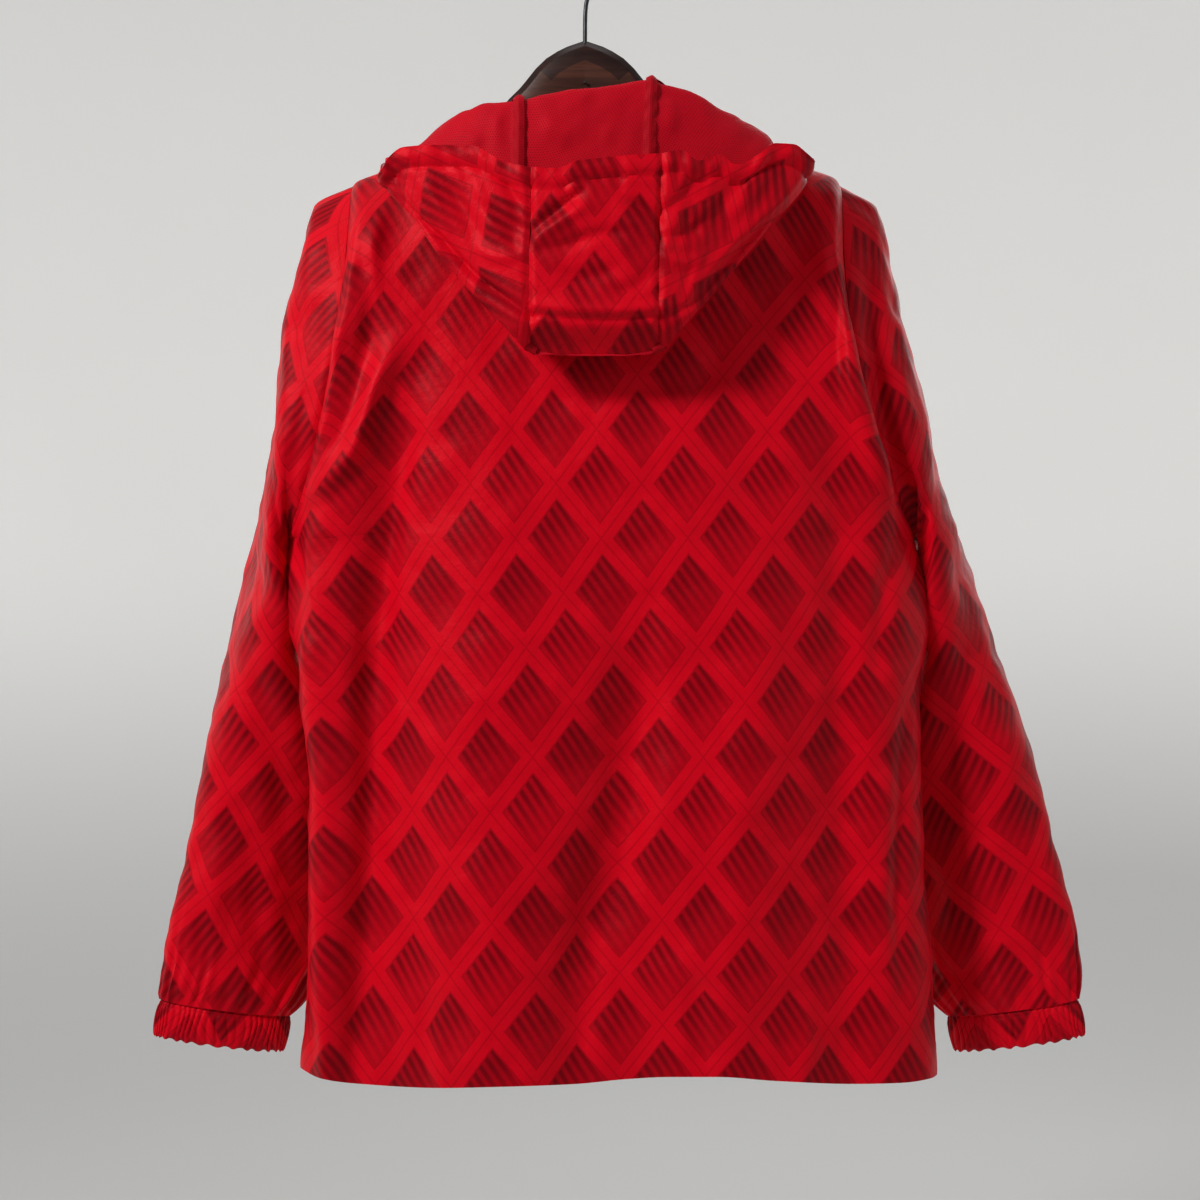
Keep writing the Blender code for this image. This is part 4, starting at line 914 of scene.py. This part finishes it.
hoodCreases = [
    ([(391, 166), (401, 196), (420, 220), (439, 237), (477, 277), (508, 300), (532, 318)],
     4, 4, 2.4, 0.6, 0.8),
    ([(384, 170), (394, 202), (412, 227), (433, 246), (468, 284), (500, 309), (530, 328)],
     6, 5, -1.3, 0.5, 0.6),
    ([(809, 178), (784, 208), (752, 238), (720, 272), (700, 296), (664, 322)], 5, 4, 1.6, 0.4, 0.6),
    ([(800, 176), (776, 204), (744, 232), (712, 266), (692, 290)], 6, 7, -1.0, 0.3, 0.3),
    ([(534, 314), (570, 318), (610, 319), (663, 316)], 4, 4, 1.5, 1.0, 1.0),
    ([(536, 306), (570, 309), (610, 310), (660, 307)], 6, 6, -1.5, 1.0, 1.0),
    ([(537, 224), (558, 208), (574, 196), (592, 182)], 4, 6, 2.4, 0.8, 0.0),
    ([(538, 236), (560, 222), (582, 208), (600, 200)], 5, 6, -1.7, 0.5, 0.0),
    ([(536, 250), (570, 243), (606, 232), (640, 236)], 5, 6, 1.9, 0.5, 0.0),
    ([(540, 268), (580, 276), (630, 266)], 7, 9, 1.6, 0.0, 0.0),
    ([(545, 290), (575, 284), (615, 292)], 5, 7, 1.0, 0.0, 0.0),
    ([(660, 224), (642, 208), (618, 198)], 4, 7, 2.0, 0.7, 0.0),
    ([(658, 240), (640, 226), (620, 216)], 5, 6, -1.2, 0.4, 0.0),
    ([(531, 214), (515, 196), (498, 178)], 5, 6, 1.9, 0.8, 0.0),
    ([(532, 232), (506, 222), (476, 196)], 5, 7, 1.6, 0.8, 0.0),
    ([(531, 252), (500, 258), (470, 244)], 5, 7, -1.4, 0.6, 0.0),
    ([(662, 212), (682, 196), (694, 176)], 5, 6, 1.8, 0.8, 0.0),
    ([(663, 236), (690, 232), (716, 208)], 5, 7, 1.7, 0.8, 0.0),
    ([(662, 258), (690, 262), (708, 248)], 5, 6, -1.2, 0.6, 0.0),
    ([(662, 262), (636, 286), (600, 296)], 6, 7, 1.1, 0.4, 0.0),
    ([(505, 176), (516, 214), (512, 268)], 8, 9, 1.3, 0.2, 0.0),
    ([(470, 172), (486, 206), (500, 246)], 7, 9, -1.2, 0.2, 0.0),
    ([(440, 172), (462, 206), (490, 250)], 6, 8, 1.3, 0.3, 0.0),
    ([(414, 172), (436, 202), (462, 234)], 6, 7, -0.9, 0.2, 0.0),
    ([(697, 176), (690, 212), (700, 246)], 7, 8, 1.4, 0.5, 0.0),
    ([(737, 182), (722, 206), (712, 240)], 6, 8, 1.3, 0.5, 0.0),
    ([(768, 170), (748, 196), (730, 222)], 7, 8, -1.0, 0.2, 0.0),
    ([(676, 240), (690, 262), (680, 292)], 6, 8, 1.0, 0.0, 0.0),
    ([(560, 176), (566, 190), (560, 204)], 6, 6, 0.9, 0.6, 0.0),
    ([(622, 168), (618, 184), (628, 198)], 6, 6, 0.8, 0.6, 0.0),
]
liningCreases = [
    ([(540, 119), (556, 132), (576, 144)], 5, 6, 1.6, 0.0, 0.0),
    ([(598, 127), (606, 134), (616, 144)], 4, 5, 1.2, 0.0, 0.0),
    ([(500, 112), (496, 128), (504, 146)], 6, 6, 1.4, 0.2, 0.0),
    ([(662, 92), (672, 112), (668, 136)], 7, 8, 1.2, 0.0, 0.0),
    ([(700, 104), (704, 124), (696, 142)], 7, 8, -1.2, 0.0, 0.0),
    ([(452, 128), (470, 136), (484, 150)], 6, 6, 1.0, 0.0, 0.0),
]


def hoodGrid(steps, shares, side):
    grid = np.zeros((len(shares), len(steps), 3))
    for j, step in enumerate(steps):
        neck = neckPoint(step)
        away = np.array((1.0, 0.0, 0.0)) if step > 0 else np.zeros(3)
        stand = neck + away * hood["stand"][0] + np.array((0.0, hood["stand"][1], hood["stand"][2]))
        keys = [neck, stand] + [np.array([look(hoodLines, "step", name + axis, step) for axis in "XYZ"])
                                for name in ("roll", "far", "near", "edge")]
        keys = np.array(keys)
        grid[:, j] = np.stack([curve(hood["shares"], keys[:, k], shares) for k in range(3)], -1)
    return grid * np.array((side, 1.0, 1.0))


def hoodShaped(grid, shares):
    # the roll and the face edge fall as they are seen
    grid = leaned(grid)
    share = shares[:, None]
    swing = hood["swing"] * bell(grid[..., 0], hood["swingWide"])
    grid[..., 0] -= swing * ease(0.04, 0.13, share) * ease(0.60, 0.40, share)
    px, py = seenAt(grid)
    top, most = int(hood["shares"][2] * hood["rows"]), hood["mostFall"]
    fall = (look(rollLine, "px", "py", px[top]) - py[top]) * hood["rollPixel"]
    fall = np.clip(fall, -most, most) * ease(455, 480, px[top]) * ease(785, 765, px[top])
    fall = fall * (grid[top, :, 1] < 0)
    grid[..., 2] -= fall[None] * ease(0.05, 0.12, share) * ease(0.42, 0.22, share)
    px, py = seenAt(grid)
    drop = (look(faceEdge, "px", "py", px[-1]) - py[-1]) * hood["edgePixel"]
    drop = np.where(grid[-1, :, 1] < -0.03, drop, 0.0)
    weight = ease(0.70, 0.99, share) * ease(-0.03, -0.06, grid[-1:, :, 1])
    grid[..., 2] -= np.clip(drop, -most, most)[None] * weight
    return grid


def hoodPanels(shares):
    # the centre reaches both sides of the middle, and the sides start at its seams
    half = hoodGrid(np.linspace(0, hood["centreSteps"], hood["centreColumns"] // 2 + 1), shares, 1.0)
    steps = np.linspace(hood["centreSteps"], hood["lastStep"], hood["sideColumns"] + 1)
    return {"centre": (np.concatenate((half[:, :0:-1] * np.array((-1.0, 1.0, 1.0)), half), 1), 1.0),
            "right": (hoodGrid(steps, shares, 1.0), 1.0), "left": (hoodGrid(steps, shares, -1.0), -1.0)}


def hoodSheet(name, grid, side, shares):
    grid = hoodShaped(grid, shares)
    outward = -gridNormals(grid, side)
    px, py = seenAt(grid)
    across, v = lengthsAlong(grid, 1), lengthsAlong(grid, 0)
    share = shares[:, None] * np.ones(grid.shape[1])
    steps = np.diff(grid, axis=1)
    u = runOf(np.hypot(steps[..., 0], steps[..., 1]), 1)
    if name == "centre":
        u = u - u[:, [grid.shape[1] // 2]]
    elif name == "left":
        u = -u
    low = grid[[int(hood["flatFrom"] * hood["rows"])], :, 2]
    flatV = np.where(share > hood["flatFrom"], grid[..., 2], 2 * low - grid[..., 2])
    cos, sin = math.cos(hood["cut"][name]), math.sin(hood["cut"][name])
    places = np.stack((u * cos - flatV * sin, u * sin + flatV * cos), -1)
    nearLayer = ease(0.58, 0.66, share)
    inside = creaseDepth(px, py, hoodCreases) * nearLayer
    inside = inside * ease(0.3, -0.2, outward[..., 1]) * hood["creaseDeep"]
    under = ease(316, 352, py) * ease(506, 536, px) * ease(704, 661, px)       # below the lowest crease
    for deep, seed, least, most, count in hood["waves"]:
        inside = inside + deep * ripple(u, v, seed + len(name), least, most, count)
    toEdge = v[-1:] - v
    deep, level, reach = hood["stitch"]
    inside = inside + deep * bell(toEdge - level, reach)
    deep, level, reach = hood["puff"]
    inside = inside - deep * bell(toEdge - level, reach)
    deep, level, reach = hood["gather"]
    waves = ripple(u, v * 0.35, 440 + len(name), *hood["gatherWaves"])
    inside = inside + deep * waves * bell(toEdge - level, reach)
    edges = np.minimum(across, across[:, -1:] - across) if name == "centre" else across
    inside = inside + seamPucker(edges, v, 450 + len(name), *hood["seamDip"])
    inside = inside * ease(0, 3, np.arange(len(shares)))[:, None]
    grid = grid - outward * inside[..., None]
    grid[..., 1] += hood["turnedIn"] * under * nearLayer
    casing = ease(0.0150, 0.0138, toEdge) * (0.4 + 0.6 * ease(0, 0.0012, toEdge))
    sheetWall("hood" + name.capitalize(), grid, places, side, hood["thick"] + hood["casingThick"] * casing,
              shellCloth, "hood_" + name)
    return grid, side, u, v


hoodShares = np.linspace(0, 1, hood["rows"] + 1)
hoodShells = {name: hoodSheet(name, *panel, hoodShares) for name, panel in hoodPanels(hoodShares).items()}


def liningSheet(name, shell):
    grid, side, u, v = shell
    rows = int(hood["casing"] * hood["rows"]) + 4
    inner = (grid + gridNormals(grid, side) * hood["liningBelow"])[:rows]
    px, py = seenAt(inner)
    share = np.linspace(0, hood["casing"], rows)[:, None]
    seen = ease(-0.1, 0.4, -gridNormals(inner, side)[..., 1]) * ease(0.5, 0.4, share)
    inside = creaseDepth(px, py, liningCreases) * seen * hood["liningDeep"]
    deep, seed, *waves = hood["liningWaves"]
    inside = inside + deep * ripple(u[:rows], v[:rows], seed + len(name), *waves)
    row = np.arange(rows)[:, None]
    inside = np.maximum(inside, 0) * ease(0, 4, row) * ease(0, 3, rows - 1 - row)
    inner = inner + gridNormals(inner, side) * inside[..., None]
    thin = (slice(0, rows - 1, 2), slice(0, None, 2))      # mesh hangs plainly, so half the grid will do
    sheetWall("hoodLining" + name.capitalize(), inner[thin], np.stack((u[thin], v[thin]), -1), side,
              hood["liningThick"], meshLining, "hood_lining_" + name)


for name, shell in hoodShells.items():
    liningSheet(name, shell)


def tapeSheet(name, edge):
    # binding over one lining seam; its top stands up in small ruffles
    grid, side = hoodShells["centre"][:2]
    other = hoodShells["right" if edge < 0 else "left"][0]
    otherSide = 1.0 if edge < 0 else -1.0
    rows = slice(6, int(hood["casing"] * hood["rows"]))
    column = grid[rows, edge]
    inCentre, inSide = grid[rows, edge - 5 if edge < 0 else edge + 5], other[rows, 5]
    wall = unit(gridNormals(grid, side)[rows, edge] + gridNormals(other, otherSide)[rows, 0])
    along = lengthsAlong(column[:, None], 0)[:, 0]
    lines = []
    for t in np.linspace(-1, 1, hood["tapeLines"]):
        swing = unit(inCentre - column) if t < 0 else unit(inSide - column)
        rise = hood["tapeBelow"] + hood["tapeBow"] * (1 - t * t)
        ruffle = hood["ruffle"] * np.sin(along * hood["ruffleRate"] + 2.5 * t) * abs(t)
        lines.append(column + swing * hood["tapeWide"] / 2 * abs(t) + wall * (rise + ruffle[:, None]))
    strip = np.stack(lines, 1)
    wide = np.linspace(0, hood["tapeWide"], hood["tapeLines"])
    places = np.stack(np.broadcast_arrays(wide[None], along[:, None]), -1)
    order = 1.0 if np.sum(gridNormals(strip, 1.0) * wall[:, None]) >= 0 else -1.0
    sheetWall(name.replace("hood_tape_", "hoodTape"), strip, places, order, hood["tapeThick"], liningTape,
              name)


tapeSheet("hood_tape_right", -1)
tapeSheet("hood_tape_left", 0)
print("hood made")


# front zip
zipParts = {"rows": 220, "evened": 12, "tapeHalf": 0.0085, "tapeBelow": 0.0044, "tapeThick": 0.0005,
            "tapeWave": 0.0003, "tapeLines": 8, "pitch": 0.0027, "tooth": (0.0030, 0.0019, 0.0013),
            "toothStep": 0.62, "teethBelow": 0.0034, "stagger": 0.0007, "teethEnd": 0.020}


def zipCentre():
    frontEdge = (madeSheets["front_rightPanel"][:, 0] + madeSheets["front_leftPanel"][:, 0]) / 2
    chinEdge = (hoodShells["right"][0][:, -1] + hoodShells["left"][0][:, -1]) / 2
    points = np.concatenate((frontEdge[:6:-1], chinEdge[4:]))
    run = np.concatenate(([0], np.cumsum(np.linalg.norm(np.diff(points, axis=0), axis=1))))
    at = np.linspace(0.001, run[-1] - 0.001, zipParts["rows"])
    points = np.stack([np.interp(at, run, points[:, k]) for k in range(3)], 1)
    for _ in range(zipParts["evened"]):
        points[1:-1] += (points[:-2] + points[2:] - 2 * points[1:-1]) * 0.25
    along = np.gradient(points, axis=0)
    inward = unit(np.cross(along, np.array((1.0, 0.0, 0.0))))
    return points, inward * np.sign(-inward[:, 1:2]), unit(along), at


zipLine, zipIn, zipAhead, zipRun = zipCentre()


def zipTapeSheet(name, side):
    across = np.linspace(0.0002, zipParts["tapeHalf"], zipParts["tapeLines"])
    lift = zipParts["tapeWave"] * np.cos(np.linspace(0, math.pi * 2, zipParts["tapeLines"]))
    strip = np.stack([zipLine + np.array((side * x, 0.0, 0.0)) + zipIn * (zipParts["tapeBelow"] + z)
                      for x, z in zip(across, lift)], 1)
    places = np.stack(np.broadcast_arrays(across[None], zipRun[:, None]), -1)
    order = 1.0 if np.sum(gridNormals(strip, 1.0) * zipIn[:, None]) > 0 else -1.0
    sheetWall(name.replace("zip_tape_", "zipTape"), strip, places, order, zipParts["tapeThick"], zipTape,
              name)


zipTapeSheet("zip_tape_right", 1.0)
zipTapeSheet("zip_tape_left", -1.0)


def plainFinish(name, colour, other, scale, roughness, spread, metallic=0.0, **constants):
    made, tree, shader = newMaterial(name, Metallic=metallic, **constants)
    place = objectPlace(tree)[0]
    patchy = noise(tree, place, scale, 3.0, 0.6)
    feed(tree, shader, "Base Color", mixColours(tree, patchy, colour, other))
    feed(tree, shader, "Roughness", patchy.ramp(0.3, 0.7, roughness - spread, roughness + spread))
    feed(tree, shader, "Normal", bumpNormal(tree, noise(tree, place, scale * 6, 2.0), 0.00008, 0.3))
    return made


zipTeethFinish = plainFinish("zipTeeth", (0.55, 0.004, 0.014, 1), (0.42, 0.002, 0.010, 1), 400.0, 0.36,
                             0.08)
zipMetal = plainFinish("zipMetal", (0.62, 0.62, 0.64, 1), (0.45, 0.45, 0.47, 1), 260.0, 0.28, 0.07, 1.0)


def zipTeeth():
    # one tooth is modelled, then copied up both tapes in turn
    bpy.ops.object.select_all(action="DESELECT")
    bpy.ops.mesh.primitive_cube_add(size=1)
    tooth = bpy.context.object
    tooth.scale = zipParts["tooth"]
    bpy.ops.object.transform_apply(location=False, rotation=False, scale=True)
    bpy.ops.object.mode_set(mode="EDIT")
    bpy.ops.mesh.select_all(action="DESELECT")
    edit = bmesh.from_edit_mesh(tooth.data)
    for face in edit.faces:
        face.select_set(face.normal.y > 0.9)
    bmesh.update_edit_mesh(tooth.data)
    bpy.ops.mesh.inset(thickness=0.00025)
    bpy.ops.transform.translate(value=(0, 0.00035, 0))
    bpy.ops.object.mode_set(mode="OBJECT")
    applied(tooth, "BEVEL", width=0.00012, segments=1)
    shape = np.array([v.co for v in tooth.data.vertices])
    faces = [tuple(f.vertices) for f in tooth.data.polygons]
    bpy.data.objects.remove(tooth)
    verts, quads = [], []
    run, side = zipParts["pitch"], 1.0
    while run < zipRun[-1] - zipParts["teethEnd"]:
        centre, inward, ahead = (np.array([np.interp(run, zipRun, values[:, k]) for k in range(3)])
                                 for values in (zipLine, zipIn, zipAhead))
        inward, ahead = unit(inward), unit(ahead)
        seat = centre + inward * zipParts["teethBelow"] + np.array((side * zipParts["stagger"], 0, 0))
        start = len(verts) * len(shape)
        verts.append(seat + shape @ np.array([(1.0, 0.0, 0.0), -inward, ahead]))
        quads += [tuple(start + n for n in face) for face in faces]
        run, side = run + zipParts["pitch"] * zipParts["toothStep"], -side
    mesh = bpy.data.meshes.new("zipTeeth")
    mesh.from_pydata(np.concatenate(verts).tolist(), [], quads)
    mesh.materials.append(zipTeethFinish)
    piece = bpy.data.objects.new("zipTeeth", mesh)
    bpy.context.scene.collection.objects.link(piece)
    chosen(piece)
    facedOut()
    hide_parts("zip_chain")
    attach(piece, "garment")
    print("zip teeth", len(verts))


zipTeeth()
for node in ("zip_slider", "zip_pull"):
    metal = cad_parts[node]
    metal.data.materials.clear()
    metal.data.materials.append(zipMetal)

# hanger
hanger = {"steps": 3, "soft": 0.0016,
          "section": ((0.50, 0.36), (0.10, 0.50), (-0.34, 0.34), (-0.50, 0.04), (-0.34, -0.50),
                      (0.50, -0.50))}
hangerLine = table("x y z high thick",
    (0.0000, 0.004, -0.0960, 0.038, 0.013), (0.0187, 0.004, -0.1055, 0.037, 0.013),
    (0.0367, 0.005, -0.1252, 0.036, 0.013), (0.0516, 0.007, -0.1388, 0.034, 0.013),
    (0.0625, 0.009, -0.1545, 0.031, 0.013), (0.0755, 0.011, -0.1695, 0.030, 0.014),
    (0.0950, 0.014, -0.1751, 0.030, 0.015), (0.1340, 0.022, -0.1890, 0.029, 0.016),
    (0.1660, 0.029, -0.2025, 0.027, 0.017), (0.1745, 0.031, -0.2070, 0.021, 0.012))


def woodFinish(name, deep, pale):
    made, tree, shader = newMaterial(name, Coat_Roughness=0.22, Specular_IOR_Level=0.28)
    place, (_, _, z) = objectPlace(tree)
    turned = addNode(tree, "Mapping", None, 0, Vector=place, Scale=(6.0, 60.0, 60.0))
    wavy = noise(tree, turned, 1.4, 4.0, 0.6)
    rings = ((z * 900 + wavy * 9.0).sine() * 0.5 + 0.5).power(1.6)
    along = addNode(tree, "Mapping", None, 0, Vector=place, Scale=(30.0, 700.0, 700.0))
    pores = noise(tree, along, 1.0, 2.0)
    tone = mixColours(tree, wavy.ramp(0.3, 0.72), deep, pale)
    tone = mixColours(tree, rings * 0.45, tone, deep)
    tone = mixColours(tree, pores.ramp(0.58, 0.70) * 0.5, tone, (0.008, 0.003, 0.002, 1))
    feed(tree, shader, "Base Color", tone)
    feed(tree, shader, "Roughness", 0.34 + wavy * 0.14)
    feed(tree, shader, "Coat Weight", wavy.ramp(0.2, 0.8, 0.08, 0.22))
    feed(tree, shader, "Normal", bumpNormal(tree, pores + rings * 0.3, 0.0002, 0.35))
    return made


darkWood = woodFinish("darkWood", (0.0120, 0.0036, 0.0026, 1), (0.034, 0.0100, 0.0060, 1))
# a lighter copy of the wood, a painted highlight for the facets facing the camera
litFacetWood = woodFinish("litFacetWood", (0.030, 0.0085, 0.0050, 1), (0.085, 0.0260, 0.0140, 1))


def hangerWood():
    # a six-sided section is drawn out along one arm, mirrored to the other and softened
    rows = hangerLine
    at = np.concatenate([np.linspace(rows["x"][k], rows["x"][k + 1], hanger["steps"], endpoint=False)
                         for k in range(len(rows["x"]) - 1)] + [rows["x"][-1:]])
    centres = np.stack((at, look(rows, "x", "y", at), look(rows, "x", "z", at)), 1)
    ahead = unit(np.gradient(centres, axis=0))
    ahead[0] = (1.0, 0.0, 0.0)
    thick = unit(np.array((0.0, 1.0, 0.0)) - ahead * ahead[:, 1:2])
    high = np.cross(ahead, thick)
    bpy.ops.object.select_all(action="DESELECT")
    bpy.ops.mesh.primitive_circle_add(vertices=6, radius=0.01, fill_type="NGON",
                                      rotation=(0, math.pi / 2, 0))
    wood = bpy.context.object
    wood.name = "hangerWood"
    bpy.ops.object.transform_apply(location=True, rotation=True, scale=True)
    bpy.ops.object.mode_set(mode="EDIT")
    bpy.ops.mesh.select_all(action="SELECT")
    last = None
    for k in range(len(at)):
        if k:
            bpy.ops.mesh.extrude_region_move()
        edit = bmesh.from_edit_mesh(wood.data)
        ring = list(next(face for face in edit.faces if face.select).verts)
        if last:
            ring = [min(ring, key=lambda vert: (vert.co - place).length) for place in last]
        size = [look(rows, "x", name, at[k]) for name in ("thick", "high")]
        for vert, (aside, up) in zip(ring, hanger["section"]):
            vert.co = Vector(centres[k] + thick[k] * aside * size[0] + high[k] * up * size[1])
        last = [vert.co.copy() for vert in ring]
        bmesh.update_edit_mesh(wood.data)
    bpy.ops.mesh.select_all(action="DESELECT")
    edit = bmesh.from_edit_mesh(wood.data)
    for face in edit.faces:
        face.select_set(all(abs(vert.co.x) < 1e-6 for vert in face.verts))
    bmesh.update_edit_mesh(wood.data)
    bpy.ops.mesh.delete(type="FACE")
    bpy.ops.object.mode_set(mode="OBJECT")
    applied(wood, "MIRROR", use_clip=True)
    facedOut()
    wood.data.materials.append(darkWood)
    wood.data.materials.append(litFacetWood)
    # facets facing the camera, and not upward, take the lighter copy: painted highlight
    for face in wood.data.polygons:
        face.material_index = int(face.normal.y < -0.75 and face.normal.z < 0.1)
    applied(wood, "BEVEL", width=hanger["soft"], segments=3, limit_method="ANGLE",
            angle_limit=math.radians(22))
    bpy.ops.object.shade_smooth_by_angle(angle=math.radians(40))
    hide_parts("hanger_wood")
    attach(wood, "garment")
    print("hanger wood", len(wood.data.polygons), "faces")


hangerWood()


# the hook's stem and neck as places across and up, then its open bend; the ball closes the stem's foot
hook = {"stem": [(0.0, -0.094), (0.0, -0.070), (0.0, -0.050), (0.003, -0.0425), (0.0095, -0.0365),
                 (0.016, -0.029), (0.019, -0.0173)],
        "bend": 0.019, "level": -0.0173, "sweep": 200.0, "steps": 24, "wire": 0.0017,
        "ball": 0.0013, "ballAt": (0, -0.0032, -0.1122)}


def hookWire():
    places = list(hook["stem"])
    for k in range(1, hook["steps"] + 1):
        turn = math.radians(hook["sweep"] * k / hook["steps"])
        places.append((hook["bend"] * math.cos(turn), hook["level"] + hook["bend"] * math.sin(turn)))
    bpy.ops.object.select_all(action="DESELECT")
    bpy.ops.curve.primitive_nurbs_path_add()
    wire = bpy.context.object
    wire.name = "hookWire"
    data = wire.data
    data.splines.clear()
    spline = data.splines.new("NURBS")
    spline.points.add(len(places) - 1)
    for point, (x, z) in zip(spline.points, places):
        point.co = (x, 0.004, z, 1)
    spline.order_u, spline.use_endpoint_u, spline.resolution_u = 4, True, 5
    data.bevel_depth, data.bevel_resolution, data.use_fill_caps = hook["wire"], 5, True
    bpy.ops.object.convert(target="MESH")
    bpy.ops.object.shade_smooth_by_angle(angle=math.radians(50))
    bpy.ops.object.select_all(action="DESELECT")
    bpy.ops.mesh.primitive_uv_sphere_add(segments=12, ring_count=8, radius=hook["ball"],
                                         location=hook["ballAt"])
    bpy.ops.object.transform_apply(location=True, rotation=False, scale=False)
    wire.select_set(True)
    bpy.context.view_layer.objects.active = wire
    bpy.ops.object.join()
    wire.data.materials.clear()
    wire.data.materials.append(plainFinish("blackWire", (0.018, 0.018, 0.020, 1), (0.034, 0.034, 0.036, 1),
                                           300.0, 0.34, 0.06, 0.6))
    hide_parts("hanger_hook")
    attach(wire, "garment")


hookWire()
print("hanger made")


# stage and light
studio = {"floor": 2.2, "low": -1.45, "bend": 1.5, "steps": 12, "wall": 2.6}


def stage():
    # a round floor whose rim bends up into a wall; it glows, painted light that brightens it, dimmer near the
    # floor and on the camera's side
    bpy.ops.object.select_all(action="DESELECT")
    bpy.ops.mesh.primitive_circle_add(vertices=96, radius=studio["floor"], fill_type="NGON",
                                      location=(0, 0, studio["low"]))
    floor = bpy.context.object
    floor.name = "studioFloor"
    bpy.ops.object.mode_set(mode="EDIT")
    bpy.ops.mesh.select_all(action="SELECT")
    for k in range(1, studio["steps"] + 1):
        turns = [math.pi / 2 * n / studio["steps"] for n in (k, k - 1)]
        rise, last = (studio["bend"] * (1 - math.cos(turn)) for turn in turns)
        wide, before = (studio["floor"] + studio["bend"] * math.sin(turn) for turn in turns)
        bpy.ops.mesh.extrude_region_move(TRANSFORM_OT_translate={"value": (0, 0, rise - last)})
        bpy.ops.transform.resize(value=(wide / before, wide / before, 1), center_override=(0, 0, 0))
    bpy.ops.mesh.extrude_region_move(TRANSFORM_OT_translate={"value": (0, 0, studio["wall"])})
    bpy.ops.mesh.delete(type="FACE")
    bpy.ops.object.mode_set(mode="OBJECT")
    bpy.ops.object.transform_apply(location=True, rotation=True, scale=True)
    bpy.ops.object.shade_smooth()
    made, tree, shader = newMaterial("paleFloor", Roughness=0.9, Emission_Strength=0.30)
    place, (_, y, z) = objectPlace(tree)
    tone = mixColours(tree, noise(tree, place, 2.0, 2.0), (0.80, 0.80, 0.79, 1), (0.76, 0.76, 0.75, 1))
    deep = y.ramp(-2.0, 0.4, 1.0, 0.0)
    low = z.ramp(-1.5, -0.3, 1.0, 0.0)
    tone = mixColours(tree, low, tone, (0.46, 0.46, 0.455, 1))
    # painted glow, dimmer near the floor
    paintedGlow = mixColours(tree, low, (0.95, 0.94, 0.92, 1), (0.38, 0.376, 0.37, 1))
    feed(tree, shader, "Base Color", mixColours(tree, deep, tone, (0.24, 0.24, 0.24, 1)))
    feed(tree, shader, "Emission Color", mixColours(tree, deep, paintedGlow, (0.16, 0.16, 0.16, 1)))
    floor.data.materials.append(made)


def light(name, place, target, size, power, colour=(1, 1, 1)):
    data = bpy.data.lights.new(name, "AREA")
    data.shape, data.size, data.energy, data.color = "SQUARE", size, power, colour
    item = bpy.data.objects.new(name, data)
    item.location = place
    item.rotation_euler = (Vector(target) - Vector(place)).to_track_quat("-Z", "Y").to_euler()
    item.visible_camera = False
    bpy.context.scene.collection.objects.link(item)


stage()
light("keyLight", (-1.65, -1.5, 0.85), (0, 0, -0.45), 0.5, 52, (1.0, 0.985, 0.96))
light("fillLight", (1.7, -1.9, 0.1), (0, 0, -0.5), 1.8, 9.0, (0.96, 0.98, 1.0))
light("topLight", (0.0, 0.1, 1.8), (0, 0, -0.4), 1.4, 8)
light("rearLight", (0.9, 2.1, 0.6), (0, 0, -0.45), 1.8, 20)
world = bpy.data.worlds.new("studio")
world.use_nodes = True
world.node_tree.nodes["Background"].inputs["Color"].default_value = (0.92, 0.95, 1.0, 1)
world.node_tree.nodes["Background"].inputs["Strength"].default_value = 0.12
bpy.context.scene.world = world
bpy.context.scene.view_settings.view_transform = "Standard"
bpy.context.scene.view_settings.look = "None"
